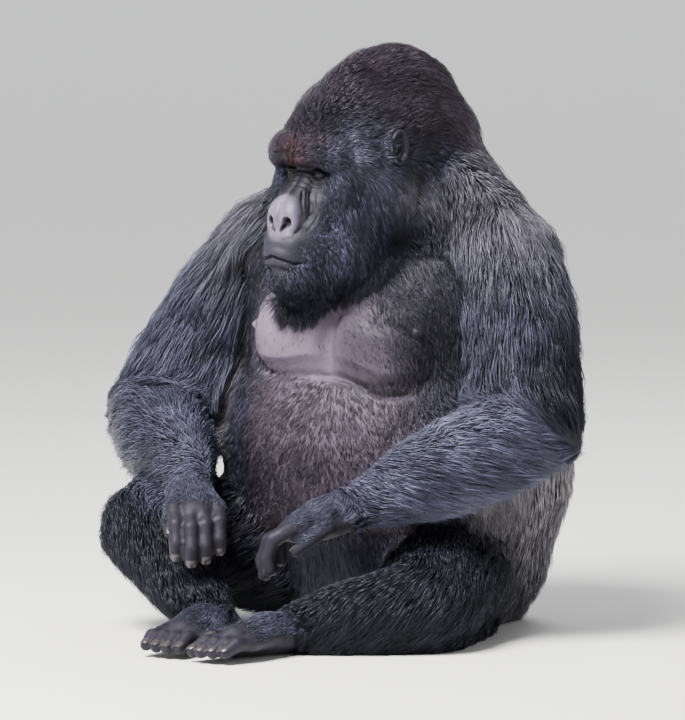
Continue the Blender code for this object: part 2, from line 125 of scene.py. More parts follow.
def lattice_noise(points, scale, seed):
    """Smooth noise from -1 to 1 over space, from random values at the corners of a lattice."""
    q = points * scale
    base = np.floor(q).astype(np.int64)
    part = q - base
    part = part * part * (3.0 - 2.0 * part)
    total = np.zeros(len(points))
    for corner in range(8):
        shift = np.array([corner & 1, corner >> 1 & 1, corner >> 2 & 1])
        cell = base + shift
        mixed = cell[:, 0] * 73856093 ^ cell[:, 1] * 19349663 ^ cell[:, 2] * 83492791 ^ seed * 2654435761
        mixed = (mixed ^ mixed >> 13) * 1274126177 & 0x7FFFFFFF
        value = (mixed ^ mixed >> 16) % 65536 / 32767.5 - 1.0
        weight = np.prod(np.where(shift == 1, part, 1.0 - part), axis=1)
        total += weight * value
    return total


def in_head(points):
    """Places in the head's frame: ahead, left and above."""
    return (points - np.array(HEAD_AT)) @ HEAD_AXES


def from_head(places):
    """Room places of places in the head's frame."""
    return np.asarray(places) @ HEAD_AXES.T + np.array(HEAD_AT)


def folded(places):
    """Places with the right side folded over onto the left."""
    m = places.copy()
    m[:, 1] = np.abs(m[:, 1])
    return m


def in_trunk(points):
    """Places from the foot of the trunk's upright line."""
    return points - np.array(TRUNK_AT)


def run_between(points, start, end):
    """The run from one joint to the next, and how far along it each point is: 0 to 1."""
    run = np.array(end - start)
    return run, (points - np.array(start)) @ run / (run @ run)


def blended(first, last, share):
    """Rows between two colours, by a share for each row."""
    return first + share[:, None] * (last - first)


def patch(places, centre, radii):
    """1 at a centre, and fading softly over the radii. An endless radius leaves that way out."""
    total = np.zeros(len(places))
    for axis in range(3):
        total -= ((places[:, axis] - centre[axis]) / radii[axis]) ** 2
    return np.exp(total)


def opaque(colour):
    """Colours held between 0 and 1, with a full fourth channel."""
    return np.concatenate([np.clip(colour, 0.0, 1.0), np.ones((len(colour), 1))], axis=1)


# ---------------------------------------------------------------- rounded masses as distances
def ball_distance(points, centre, radii, pitch=0.0):
    """Distance outside an ellipsoid; pitch in degrees tips its first axis down."""
    q = points - np.array(centre)
    turn = math.radians(pitch)
    if pitch:
        ahead = q[:, 0] * math.cos(turn) - q[:, 2] * math.sin(turn)
        above = q[:, 0] * math.sin(turn) + q[:, 2] * math.cos(turn)
        q = np.stack([ahead, q[:, 1], above], axis=1)
    k = q / np.array(radii)
    near = np.linalg.norm(k, axis=1)
    slope = np.linalg.norm(k / np.array(radii), axis=1)
    return near * (near - 1.0) / np.maximum(slope, 1e-9)


def bar_distance(points, stations):
    """Distance outside a bent round bar through stations of three coordinates and a radius."""
    total = np.full(len(points), 9.0)
    for first, last in zip(stations, stations[1:]):
        start = np.array(first[:3])
        along = np.array(last[:3]) - start
        t = np.clip((points - start) @ along / (along @ along), 0.0, 1.0)
        gap = np.linalg.norm(points - start - t[:, None] * along, axis=1)
        total = np.minimum(total, gap - (first[3] + (last[3] - first[3]) * t))
    return total


def joined(a, b, soft):
    """Two masses melted together over a width."""
    h = np.clip(0.5 + 0.5 * (b - a) / soft, 0.0, 1.0)
    return b * (1.0 - h) + a * h - soft * h * (1.0 - h)


def cut_by(a, b, soft):
    """The first mass with the second taken out of it."""
    return -joined(-a, b, soft)


def slope_of(distance, points):
    """The direction in which a distance grows, by differences at four corners."""
    step = 0.0004
    total = np.zeros_like(points)
    for corner in ((1, -1, -1), (-1, -1, 1), (-1, 1, -1), (1, 1, 1)):
        corner = np.array(corner, float)
        total += corner * distance(points + step * corner)[:, None]
    return total / (4.0 * step)


# ---------------------------------------------------------------- the head's masses
# How thick the lids are, and the half width, rise and fall of the slit between them.
LID = 0.0018
LID_HALF_WIDTH = 0.0128
LID_RISE = 0.0050
LID_FALL = 0.0042


def nose_wing_rim():
    """The raised rim round a nostril, from its inner end over the top to the outer end."""
    stations = []
    for angle in np.linspace(-20.0, 215.0, 9):
        turn = math.radians(angle)
        side = 0.0215 + 0.0118 * math.cos(turn)
        height = -0.1440 + 0.0195 * math.sin(turn)
        ahead = 0.1930 - 0.50 * max(side - 0.020, 0.0) - 0.10 * (height + 0.143)
        stations.append((ahead, side, height, 0.0086))
    return stations


NOSE_WING = nose_wing_rim()
BROW = ((0.141, 0.0, -0.007, 0.031), (0.140, 0.034, -0.006, 0.031),
        (0.112, 0.078, -0.014, 0.028), (0.057, 0.104, -0.025, 0.018))
NOSE_BRIDGE = ((0.112, 0.006, -0.045, 0.017), (0.139, 0.010, -0.082, 0.021), (0.170, 0.014, -0.122, 0.029))
BESIDE_NOSE = ((0.112, 0.040, -0.078, 0.018), (0.130, 0.046, -0.108, 0.020), (0.140, 0.048, -0.145, 0.019))
MOUTH = ((0.2130, 0.000, -0.2063), (0.2085, 0.018, -0.2100), (0.1930, 0.038, -0.2170),
         (0.1700, 0.055, -0.2130), (0.1480, 0.066, -0.2010))
EAR_AT = (-0.003, 0.116, -0.002)
# An ellipsoid about EAR_AT that takes in the whole ear, and the ear's hollow as a centre and radii.
EAR_REACH = (0.028, 0.024, 0.044)
EAR_HOLLOW = ((EAR_AT[0] + 0.004, EAR_AT[1] + 0.0125, EAR_AT[2] - 0.003), (0.0130, 0.0120, 0.0240))


def skull_distance(places):
    """The head with its coat but without lips, in its own frame."""
    m = folded(places)
    skull = ball_distance(m, (0.060, 0.0, -0.090), (0.082, 0.100, 0.100))
    for centre, radii, pitch in (
            ((-0.045, 0.0, 0.015), (0.185, 0.118, 0.125), 0.0),
            ((-0.098, 0.0, 0.062), (0.172, 0.078, 0.129), 0.0),
            ((-0.150, 0.0, -0.010), (0.157, 0.115, 0.130), 0.0),
            ((0.098, 0.0, 0.024), (0.068, 0.080, 0.050), 30.0),
            ((0.010, 0.0, 0.020), (0.135, 0.088, 0.095), 0.0),
            ((0.018, 0.055, -0.110), (0.108, 0.076, 0.120), 10.0),
            ((0.052, 0.045, -0.195), (0.098, 0.064, 0.084), 24.0),
            ((0.092, 0.0, -0.256), (0.088, 0.066, 0.060), 12.0),
            ((0.120, 0.0, -0.180), (0.092, 0.078, 0.058), 6.0),
            ((0.136, 0.0, -0.208), (0.080, 0.066, 0.046), 0.0),
            ((0.130, 0.0, -0.246), (0.080, 0.060, 0.044), 6.0)):
        skull = joined(skull, ball_distance(m, centre, radii, pitch), 0.012)
    skull = joined(skull, ball_distance(m, (0.092, 0.070, -0.082), (0.040, 0.032, 0.031)), 0.014)
    skull = joined(skull, bar_distance(m, BROW), 0.010)
    skull = joined(skull, ball_distance(m, (0.072, 0.086, -0.052), (0.044, 0.028, 0.050)), 0.014)
    # the hollow under the brow and the ball of the lids
    forward, out, height = EYE_AT
    hollow = ball_distance(m, (forward + 0.022, out + 0.001, height - 0.001), (0.026, 0.024, 0.0155))
    skull = cut_by(skull, hollow, 0.010)
    lids = ball_distance(m, (forward, out, height), (EYE_BALL + LID,) * 3)
    skull = joined(skull, lids, 0.005)
    # nose
    skull = joined(skull, bar_distance(m, NOSE_BRIDGE), 0.014)
    skull = joined(skull, bar_distance(m, BESIDE_NOSE), 0.014)
    skull = joined(skull, bar_distance(m, NOSE_WING), 0.010)
    skull = joined(skull, ball_distance(m, (0.187, 0.0, -0.134), (0.018, 0.012, 0.022)), 0.008)
    return skull


def curved(path, spans):
    """Points along a smooth curve through a path's points, so many to each of its spans."""
    p = np.array(path, float)
    p = np.concatenate([2.0 * p[:1] - p[1:2], p, 2.0 * p[-1:] - p[-2:-1]])
    found = []
    for a, b, c, d in zip(p, p[1:], p[2:], p[3:]):
        for t in np.arange(spans) / spans:
            found.append(0.5 * (2.0 * b + (c - a) * t + (2.0 * a - 5.0 * b + 4.0 * c - d) * t ** 2
                                + (3.0 * b - 3.0 * c + d - a) * t ** 3))
    return np.array(found + [p[-2]])


def laid_on(path, distance):
    """A smooth path moved onto the surface where a distance is nought, and the surface's way out there."""
    points = curved(path, 4)
    for _ in range(10):
        slope = slope_of(distance, points)
        points -= distance(points)[:, None] * slope / np.maximum(rows_dot(slope, slope), 0.25)
    return points, unit(slope_of(distance, points))


MOUTH_LINE, MOUTH_OUT = laid_on(MOUTH, skull_distance)
# Each lip as how far above the mouth's line it runs, how far in, and how thick it is.
LIPS = ((0.0090, 0.0070, 0.0092), (-0.0080, 0.0078, 0.0080))


def lip_bars():
    """The two lips, thinning towards the corners of the mouth."""
    bars = []
    for rise, inward, radius in LIPS:
        lip = MOUTH_LINE - inward * MOUTH_OUT + np.array([0.0, 0.0, rise])
        shares = np.linspace(0.0, 1.0, len(lip)) ** 2
        bars.append([(*place, radius * (1.0 - 0.45 * share)) for place, share in zip(lip, shares)])
    return bars


LIP_BARS = lip_bars()


def head_distance(places):
    """The head with its coat and its lips, in its own frame."""
    m = folded(places)
    skull = skull_distance(m)
    for bar in LIP_BARS:
        skull = joined(skull, bar_distance(m, bar), 0.005)
    return skull


def ear_distance(places):
    """A rounded ear with a rolled rim and a deep hollow, in the head's frame."""
    m = folded(places)
    ahead, out, above = EAR_AT
    shell = ball_distance(m, (ahead, out, above), (0.0190, 0.0100, 0.0335))
    shell = cut_by(shell, ball_distance(m, *EAR_HOLLOW), 0.003)
    rim = []
    for angle in np.linspace(35.0, 300.0, 12):
        turn = math.radians(angle)
        reach = 0.0052 if angle < 250.0 else 0.0062
        rim.append((ahead + 0.0160 * math.cos(turn), out + 0.0080 - 0.003 * math.cos(turn),
                    above + 0.0305 * math.sin(turn), reach))
    shell = joined(shell, bar_distance(m, rim), 0.003)
    fold = []
    for angle in np.linspace(100.0, 250.0, 7):
        turn = math.radians(angle)
        fold.append((ahead + 0.002 + 0.0085 * math.cos(turn), out + 0.0060,
                     above + 0.0185 * math.sin(turn), 0.0030))
    shell = joined(shell, bar_distance(m, fold), 0.003)
    flap = ball_distance(m, (ahead + 0.0165, out + 0.0035, above - 0.007), (0.0050, 0.0060, 0.0080))
    return joined(shell, flap, 0.003)


# ---------------------------------------------------------------- hands and feet
def hand_bars(side):
    """The bars of one hand: palm, four curled fingers and thumb, and each digit's last station pair."""
    sign = SIDES[side]
    wrist = WRIST[side]
    knuckles = KNUCKLES[side]
    ahead = (knuckles - wrist).normalized()
    across = ahead.cross(UP).normalized() * -sign
    below = ahead.cross(across).normalized() * -sign
    bars = [((*wrist, 0.041), (*wrist.lerp(knuckles, 0.5), 0.040), (*knuckles, 0.027))]
    digits = []
    for k, reach in enumerate(FINGER_REACH):
        out = (1.5 - k) * FINGER_SPACING
        base = knuckles + across * out - below * 0.006 - ahead * 0.007 * abs(k - 1)
        middle = base + reach * (ahead * 0.050 + below * 0.010)
        last = middle + reach * (ahead * 0.024 + below * 0.030)
        tip = last + reach * (ahead * 0.004 + below * 0.026)
        digits.append(((*wrist.lerp(base, 0.45), 0.0200), (*base, 0.0172), (*base.lerp(middle, 0.5), 0.0142),
                       (*middle, 0.0158), (*middle.lerp(last, 0.5), 0.0138), (*last, 0.0146), (*tip, 0.0122)))
    base = wrist.lerp(knuckles, 0.40) + across * 0.036 + below * 0.012
    middle = base + ahead * 0.040 + across * 0.014 + below * 0.014
    tip = middle + ahead * 0.030 + below * 0.012
    digits.append(((*base, 0.0175), (*middle, 0.0140), (*tip, 0.0108)))
    return bars, digits


def foot_bars(side):
    """The bars of one foot: heel and sole, four toes and the great toe set apart."""
    ankle = ANKLE[side]
    toes = TOES[side]
    ahead = (toes - ankle).normalized()
    inward = UP.cross(ahead).normalized() * -SIDES[side]
    heel = ankle - ahead * 0.036 - UP * 0.018
    ball = ankle.lerp(toes, 0.62)
    bars = [((*heel, 0.037), (*ankle.lerp(toes, 0.28), 0.040), (*ball, 0.031))]
    digits = []
    for k, reach in enumerate(TOE_REACH):
        base = ball - inward * (k - 1.2) * TOE_SPACING
        bend = base + ahead * 0.048 * reach + UP * 0.006
        tip = bend + ahead * 0.034 * reach - UP * 0.010
        digits.append(((*ankle.lerp(base, 0.5), 0.0230), (*base, 0.0165), (*base.lerp(bend, 0.5), 0.0138),
                       (*bend, 0.0148), (*tip, 0.0118)))
    base = ankle.lerp(toes, 0.26) + inward * 0.030
    bend = base + ahead * 0.052 + inward * 0.030
    tip = bend + ahead * 0.040 + inward * 0.004
    digits.append(((*base, 0.0215), (*bend, 0.0178), (*tip, 0.0145)))
    return bars, digits


def limb_end_distance(bars, digits, points):
    """A hand or foot, whose digits stay apart from each other by a deep groove."""
    total = np.full(len(points), 9.0)
    for digit in digits:
        total = joined(total, bar_distance(points, digit), 0.0045)
    for bar in bars:
        total = joined(total, bar_distance(points, bar), 0.014)
    return total


# ---------------------------------------------------------------- settings
def colour_setting(name, description, default):
    """A colour that the panel shows."""
    return FloatVectorProperty(name=name, description=description, subtype="COLOR", size=3,
                               min=0.0, max=1.0, default=default)


def share_setting(name, description, default, least=0.0):
    """A share up to 1 that the panel shows."""
    return FloatProperty(name=name, description=description, default=default, min=least, max=1.0,
                         subtype="FACTOR")


def number_setting(name, description, default, **kind):
    """A number that the panel shows, with its unit or limits."""
    return FloatProperty(name=name, description=description, default=default, **kind)


class SkinSettings(bpy.types.PropertyGroup):
    """Sizes and colours of the skin."""
    cell: number_setting("Cell", "Size of a skin face under the coat", 0.0075, min=0.004, max=0.02,
                         unit="LENGTH")
    face: colour_setting("Face", "Bare skin of face, ears, hands and feet", (0.016, 0.0135, 0.022))
    # the nose's colour is lightened as a painted highlight
    nose: colour_setting("Nose", "Bare shiny skin of the nose", (0.098, 0.087, 0.124))
    breast: colour_setting("Breast", "Bare skin of the breast", (0.122, 0.095, 0.134))
    roughness: share_setting("Roughness", "Roughness of the bare skin", 0.56)
    nose_roughness: share_setting("Nose Roughness", "Roughness of the nose", 0.42)


class EyeSettings(bpy.types.PropertyGroup):
    """Sizes and colours of the eyes."""
    iris_radius: number_setting("Iris Radius", "Radius of the coloured ring", 0.0068, unit="LENGTH")
    pupil_radius: number_setting("Pupil Radius", "Radius of the pupil", 0.0032, unit="LENGTH")
    iris: colour_setting("Iris", "Colour of the iris", (0.014, 0.009, 0.004))
    white: colour_setting("White", "Colour of the eyeball round the iris", (0.010, 0.007, 0.006))


class NailSettings(bpy.types.PropertyGroup):
    """Sizes and colour of the nails."""
    length: number_setting("Length", "Length of a finger's nail", 0.0150, unit="LENGTH")
    colour: colour_setting("Colour", "Colour of the horn", (0.030, 0.026, 0.026))


class CoatSettings(bpy.types.PropertyGroup):
    """Thickness and colours of the coat."""
    fullness: share_setting("Fullness", "Share of the planned locks that are made", 1.0, least=0.02)
    wave: share_setting("Wave", "How far the lie of the hair wanders", 0.22)
    arms: colour_setting("Arms", "Hair of arms and legs", (0.036, 0.036, 0.058))
    crown: colour_setting("Crown", "Hair of crown and brow", (0.035, 0.024, 0.036))
    # the temples' blue-grey is their own hair, made lighter still as a painted sheen
    temples: colour_setting("Temples", "Blue-grey hair before the ears", (0.118, 0.116, 0.168))
    russet: colour_setting("Russet", "Red-brown patch on the brow", (0.058, 0.020, 0.019))
    cheeks: colour_setting("Cheeks", "Hair of cheeks and beard", (0.036, 0.036, 0.059))
    grizzle: colour_setting("Grizzle", "Grey hair of neck and shoulders", (0.090, 0.083, 0.100))
    belly: colour_setting("Belly", "Thin hair of the belly", (0.062, 0.049, 0.064))
    saddle: colour_setting("Saddle", "Silver hair of back and hips", (0.200, 0.190, 0.205))


class StageSettings(bpy.types.PropertyGroup):
    """Camera, floor and light."""
    azimuth: number_setting("Azimuth", "Camera's way round the animal", math.radians(30.0), subtype="ANGLE")
    elevation: number_setting("Elevation", "Camera's height angle", math.radians(6.0), subtype="ANGLE")
    distance: number_setting("Distance", "Camera to the trunk's upright line", 24.0, unit="LENGTH")
    frame_height: number_setting("Frame Height", "What the picture takes in at the trunk", 1.3960,
                                 unit="LENGTH")
    aim_right: number_setting("Aim Right", "Picture's middle, right of the trunk's line", -0.0955,
                              unit="LENGTH")
    aim_up: number_setting("Aim Up", "Picture's middle above the floor, across the view", 0.5057,
                           unit="LENGTH")
    key: number_setting("Key", "Power of the large soft light", 1150.0, unit="POWER")
    fill: number_setting("Fill", "Power of the fill light", 10.0, unit="POWER")
    rim: number_setting("Rim", "Power of the light from behind", 120.0, unit="POWER")
    sky: number_setting("Sky", "Strength of the even light all round", 0.20)
    floor: colour_setting("Floor", "Colour of floor and backdrop", (0.78, 0.77, 0.75))


SETTINGS = {"silverback_skin": SkinSettings, "silverback_eyes": EyeSettings,
            "silverback_nails": NailSettings, "silverback_coat": CoatSettings,
            "silverback_stage": StageSettings}


# ---------------------------------------------------------------- meshes and materials
def mesh_from(bm, name):
    """Closes a bmesh into a smooth mesh."""
    mesh = bpy.data.meshes.new(name)
    bm.to_mesh(mesh)
    bm.free()
    mesh.shade_smooth()
    return mesh


def new_piece(name, mesh, slot, *nodes):
    """Links a mesh as a piece of the model, standing for some of the frame's nodes."""
    obj = bpy.data.objects.new(name, mesh)
    bpy.context.scene.collection.objects.link(obj)
    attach(obj, "root")
    if nodes:
        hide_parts(*nodes)
    return obj


def mesh_arrays(mesh):
    """Vertex places, and the triangles of a mesh as rows of three vertices."""
    places = np.empty(len(mesh.vertices) * 3, np.float32)
    mesh.vertices.foreach_get("co", places)
    mesh.calc_loop_triangles()
    corners = np.empty(len(mesh.loop_triangles) * 3, np.int32)
    mesh.loop_triangles.foreach_get("vertices", corners)
    return places.reshape(-1, 3).astype(float), corners.reshape(-1, 3)


def vertex_normals(mesh):
    """The way out at each vertex."""
    normals = np.empty(len(mesh.vertices) * 3, np.float32)
    mesh.vertex_normals.foreach_get("vector", normals)
    return normals.reshape(-1, 3).astype(float)


def set_places(mesh, places):
    """Moves every vertex of a mesh to its new place."""
    mesh.vertices.foreach_set("co", np.ascontiguousarray(places, np.float32).ravel())
    mesh.update()


def mesh_edges(mesh):
    """The edges of a mesh as rows of two vertices."""
    edges = np.empty(len(mesh.edges) * 2, np.int32)
    mesh.edges.foreach_get("vertices", edges)
    return edges.reshape(-1, 2)


def relaxed(values, edges, rounds, share=0.5, keep=None):
    """Vertex values averaged with their neighbours' some times over; keep holds some back."""
    values = values.astype(float).copy()
    flat = values.ndim == 1
    if flat:
        values = values[:, None]
    count = len(values)
    degree = np.bincount(edges.ravel(), minlength=count)[:, None]
    degree = np.maximum(degree, 1)
    weight = share if keep is None else share * (1.0 - keep[:, None])
    for _ in range(rounds):
        total = np.empty_like(values)
        for column in range(values.shape[1]):
            total[:, column] = (
                np.bincount(edges[:, 0], values[edges[:, 1], column], minlength=count)
                + np.bincount(edges[:, 1], values[edges[:, 0], column], minlength=count))
        values += weight * (total / degree - values)
    return values[:, 0] if flat else values


def evened(values, edges, rounds, keep):
    """Values smoothed broadly, with what the smoothing shrinks given back."""
    broad = relaxed(values, edges, rounds, 0.5, keep)
    return broad + relaxed(values - broad, edges, rounds, 0.5)


# How wide the values of each kind of attribute are, and what Blender calls them.
KINDS = {"FLOAT": (1, "value"), "FLOAT_VECTOR": (3, "vector"), "FLOAT_COLOR": (4, "color")}


def store(mesh, name, values):
    """Keeps vertex values on the mesh, as numbers, vectors or colours."""
    width = 1 if values.ndim == 1 else values.shape[1]
    kind = next(kind for kind, (wide, _) in KINDS.items() if wide == width)
    layer = mesh.attributes.new(name, kind, "POINT")
    layer.data.foreach_set(KINDS[kind][1], values.astype(np.float32).ravel())


def stored(mesh, name):
    """Vertex values kept on the mesh."""
    layer = mesh.attributes[name]
    width, label = KINDS[layer.data_type]
    values = np.empty(len(layer.data) * width, np.float32)
    layer.data.foreach_get(label, values)
    return values.astype(float) if width == 1 else values.reshape(-1, width).astype(float)


class Nodes:
    """A short way to add and join shader nodes."""

    def __init__(self, name):
        self.material = bpy.data.materials.new(name)
        self.material.use_nodes = True
        self.tree = self.material.node_tree
        self.shader = self.tree.nodes["Principled BSDF"]

    def add(self, kind, **settings):
        """A new node, with what is named set on its sockets or on itself."""
        node = self.tree.nodes.new(kind)
        for key, value in settings.items():
            if key in node.inputs:
                node.inputs[key].default_value = value
            else:
                setattr(node, key, value)
        return node

    def link(self, source, target):
        """Joins an output to an input."""
        self.tree.links.new(source, target)


def painted(nodes, attribute):
    """The colour that the mesh's vertices carry."""
    return nodes.add("ShaderNodeVertexColor", layer_name=attribute).outputs["Color"]


# ---------------------------------------------------------------- what grows where
def region_of(points):
    """For each point, the index in FLESH of the frame's nearest node."""
    places = []
    faces = []
    owners = []
    for index, name in enumerate(FLESH):
        node_places, triangles = mesh_arrays(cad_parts[name].data)
        faces.append(triangles + sum(len(p) for p in places))
        places.append(node_places)
        owners += [index] * len(triangles)
    tree = BVHTree.FromPolygons(np.concatenate(places).tolist(), np.concatenate(faces).tolist())
    return np.array([owners[tree.find_nearest(p)[2]] for p in points.tolist()])


def bare_face(places):
    """1 on the bare skin of brow, nose and lips, 0 where the face is haired."""
    ahead, left, above = places.T
    half = np.interp(above, (-0.246, -0.230, -0.220, -0.205, -0.180, -0.130, -0.085, -0.045, -0.010),
                     (0.000, 0.024, 0.046, 0.056, 0.056, 0.058, 0.055, 0.054, 0.048))
    return (step_up(half - np.abs(left), -0.006, 0.006) * step_up(above, -0.024, -0.036)
            * step_up(above, -0.246, -0.230) * step_up(ahead, 0.060, 0.075))


def bare_breast(places):
    """1 on the bare skin of the breast."""
    right, back, above = places.T
    out = (np.abs(right + 0.015) - 0.020).clip(0.0)
    far = np.where(right > -0.015, 0.140, 0.165)
    middle = 0.575 - 0.25 * (right + 0.015).clip(0.0)
    reach = np.sqrt((out / far) ** 2 + ((above - middle) / 0.105) ** 2)
    return step_up(reach, 1.42, 0.66) * step_up(back, -0.080, -0.120)


# What covers each part of a limb: its node's stem, its joints, how deep and how long the coat is
# there, and how far it hangs.
LIMB_COATS = (
    ("upper_arm_", SHOULDER, ELBOW, 0.021, 0.098, 0.40),
    ("forearm_", WRIST, ELBOW, 0.018, 0.074, 0.40),
    ("thigh_", HIP, KNEE, 0.016, 0.056, 0.45),
    ("shin_", KNEE, ANKLE, 0.015, 0.060, 0.55),
    ("hand_", WRIST, KNUCKLES, 0.0, 0.014, 0.0),
    ("foot_", ANKLE, TOES, 0.0, 0.012, 0.0))
HAIR_COLOURS = ("arms", "crown", "temples", "russet", "cheeks", "grizzle", "belly", "saddle")
DOWN = np.array([0.0, 0.0, -1.0])
FORWARD = np.array(HEAD_FORWARD)
ENDLESS = math.inf


class CoatPlan:
    """Depth, length, thickness, lie and colour of the coat at each point of the skin."""

    def __init__(self, points, normals, region):
        settings = bpy.context.scene.silverback_coat
        self.colours = {name: np.array(getattr(settings, name)) for name in HAIR_COLOURS}
        self.count = len(points)
        self.points = points
        self.normals = normals
        self.names = np.array(FLESH)[region]
        self.places = in_trunk(points)
        self.depth = np.zeros(self.count)
        self.length = np.zeros(self.count)
        self.cover = np.ones(self.count)
        self.lie = np.zeros((self.count, 3))
        self.colour = np.tile(self.colours["arms"], (self.count, 1))

    def put(self, mask, depth, length, cover, lie, colour):
        """Sets what grows where the mask is true."""
        self.depth[mask] = np.broadcast_to(depth, (self.count,))[mask]
        self.length[mask] = np.broadcast_to(length, (self.count,))[mask]
        self.cover[mask] = np.broadcast_to(cover, (self.count,))[mask]
        self.lie[mask] = np.broadcast_to(lie, (self.count, 3))[mask]
        self.colour[mask] = np.broadcast_to(colour, (self.count, 3))[mask]

    def head_colour(self, head, nape, beard, chin):
        """Colours of the hair of the head: crown, cheeks, temples and their lighter and darker patches, with
        painted shade under the jaw, before the ears and over the cheekbones, and a painted sheen on the
        temples.
        """
        colours = self.colours
        ahead, left, above = head.T
        aside = np.abs(left)
        top = step_up(above + 0.03 * step_up(aside, 0.08, 0.04), -0.04, 0.03)
        forehead = patch(head, (0.120, 0.0, 0.050), (0.060, ENDLESS, 0.042))
        temple = patch(head, (0.070, 0.0, 0.005), (0.060, ENDLESS, 0.050)) * step_up(aside, 0.045, 0.075)
        colour = blended(colours["cheeks"], colours["crown"], top)
        colour = colour * ((1.0 - 0.80 * beard) * (1.0 - 0.86 * forehead))[:, None]
        # the temples: their own blue-grey hair, lightened further as a painted sheen
        colour = blended(colour, colours["temples"], temple)
        # painted shade: the hair under and behind the jaw is darkened
        under_jaw_shade = step_up(above, -0.10, -0.16) * step_up(ahead, 0.08, 0.0)
        colour = colour * (1.0 - 0.9 * under_jaw_shade)[:, None]
        jaw = patch(head, (-0.050, 0.0, -0.076), (0.050, ENDLESS, 0.038)) * (1.0 - nape)
        colour = blended(colour, 1.5 * colours["grizzle"], 0.90 * jaw)
        russet = patch(head, (0.165, 0.006, -0.015), (0.040, 0.018, 0.024))
        colour = blended(colour, colours["russet"], russet)
        # painted shade: the hair just before the ears is darkened
        ear_front_shade = patch(head, (0.034, 0.0, 0.004), (0.026, ENDLESS, 0.045)) * step_up(aside, 0.06, 0.08)
        colour = colour * (1.0 - 0.80 * ear_front_shade)[:, None]
        # painted shade: the hair over the cheekbones, which stand out into the light, is darkened
        cheekbone_shade = patch(head, (0.095, 0.0, -0.060), (0.030, ENDLESS, 0.030))
        colour = colour * (1.0 - 0.45 * cheekbone_shade)[:, None]
        return colour * (1.0 - 0.45 * chin)[:, None]

    def head_and_ears(self):
        """Sets the head's coat: combed back over the top, hanging at the cheeks, bare round the nose."""
        head = in_head(self.points)
        bare = bare_face(head)
        ahead, left, above = head.T
        aside = np.abs(left)
        nose_gap = (head - np.array([0.160, 0.0, -0.130])) * np.array([1.0, 1.0, 0.80])
        grown = step_up(np.linalg.norm(nose_gap, axis=1), 0.066, 0.130)
        nape = step_up(ahead, -0.08, -0.22)
        beard = step_up(above, -0.19, -0.26) * step_up(ahead, 0.19, 0.14)
        hanging = step_up(above, 0.005, -0.070)
        out = np.sign(left) * step_up(aside, 0.0, 0.05)
        top_way = np.stack([-1.0 + 0.3 * nape, 0.25 * out, 0.35 - 0.9 * nape], axis=1)
        cheek_way = np.stack([-0.42 + 0.30 * beard, 0.10 * out, np.full(self.count, -1.0)], axis=1)
        lie = blended(top_way, cheek_way, hanging) @ HEAD_AXES.T
        stubble = np.maximum(step_up(above, -0.165, -0.190) * step_up(aside, 0.0, 0.03),
                             0.8 * step_up(aside, 0.045, 0.062))
        chin = step_up(above, -0.225, -0.240) * step_up(ahead, 0.13, 0.17)
        before_ear = patch(head, (0.026, 0.0, 0.0), (0.014, ENDLESS, 0.036)) * step_up(aside, 0.06, 0.08)
        crest = patch(head, (0.050, 0.0, 0.0), (0.065, ENDLESS, ENDLESS)) * step_up(above, 0.035, 0.085)
        depth = 0.001 + 0.009 * grown * (1.0 - 0.5 * chin) * (1.0 - crest) + 0.007 * nape
        length = (0.006 + (0.017 * grown + 0.012 * beard) * (1.0 - 0.45 * chin) + 0.014 * nape
                  + 0.014 * hanging * grown + 0.012 * before_ear + 0.010 * crest)
        self.put(self.names == "head", (1.0 - bare) * depth, (1.0 - bare) * length + 0.0038 * bare * stubble,
                 1.0 - bare * (0.98 - 0.55 * stubble), lie, self.head_colour(head, nape, beard, chin))
        for side in SIDES:
            self.put(self.names == "ear_" + side, 0.0, 0.004, 0.12, -FORWARD, self.colours["cheeks"])

    def neck_and_trunk(self):
        """Sets the coat of neck, chest, belly and hips: thin in front, long and silver behind."""
        colours = self.colours
        across, deep, above = self.places.T
        aside = np.abs(across)
        sideways = np.sign(across)[:, None] * np.array([1.0, 0.0, 0.0])
        front = step_up(deep, -0.02, -0.12) * step_up(aside, 0.29, 0.22)
        back = 1.0 - front
        bare = bare_breast(self.places)
        lie_front = DOWN + 0.45 * sideways
        from_jaw = in_head(self.points) @ np.array([1.0, 0.0, -1.0]) / math.sqrt(2.0)
        throat = 0.38 * colours["arms"] + 0.12 * colours["belly"]
        neck_tone = blended(0.85 * colours["grizzle"], throat, front)
        # painted shade: the neck's hair darkens towards and under the jaw
        self.put(self.names == "neck", 0.015, 0.050, 1.0,
                 DOWN + 0.35 * sideways - 0.25 * FORWARD * back[:, None],
                 blended(neck_tone, 0.15 * colours["arms"], step_up(from_jaw, -0.02, 0.09)))
        mantle = blended(colours["arms"], colours["grizzle"], 0.75 * step_up(above, 0.60, 0.76))
        colour_back = blended(mantle, colours["saddle"], step_up(above, 0.66, 0.48) * back)
        thinly = step_up(across, 0.020, 0.075) * step_up(above, 0.50, 0.58)
        self.put(self.names == "chest", 0.015 * back + 0.005 * front * (1.0 - bare),
                 0.050 * back + (0.024 - 0.016 * bare) * front, 1.0 - (0.94 - 0.40 * thinly) * bare,
                 lie_front, blended(colour_back, throat, front))
        middle = step_up(aside, 0.20, 0.10) * front
        colour_belly = blended(colours["saddle"], colours["belly"], front)
        colour_belly = blended(colour_belly, colours["arms"], step_up(aside, 0.13, 0.22) * front)
        self.put(self.names == "belly", 0.012 * back + 0.004 * front,
                 0.036 * back + (0.030 - 0.015 * middle) * front, 1.0 - 0.10 * middle, lie_front,
                 colour_belly)
        loin = colours["saddle"] * 0.8 + 0.2 * colours["arms"]
        self.put(self.names == "hips", 0.013, 0.036, 1.0, DOWN + 0.2 * sideways,
                 blended(loin, 0.8 * colours["arms"], front))

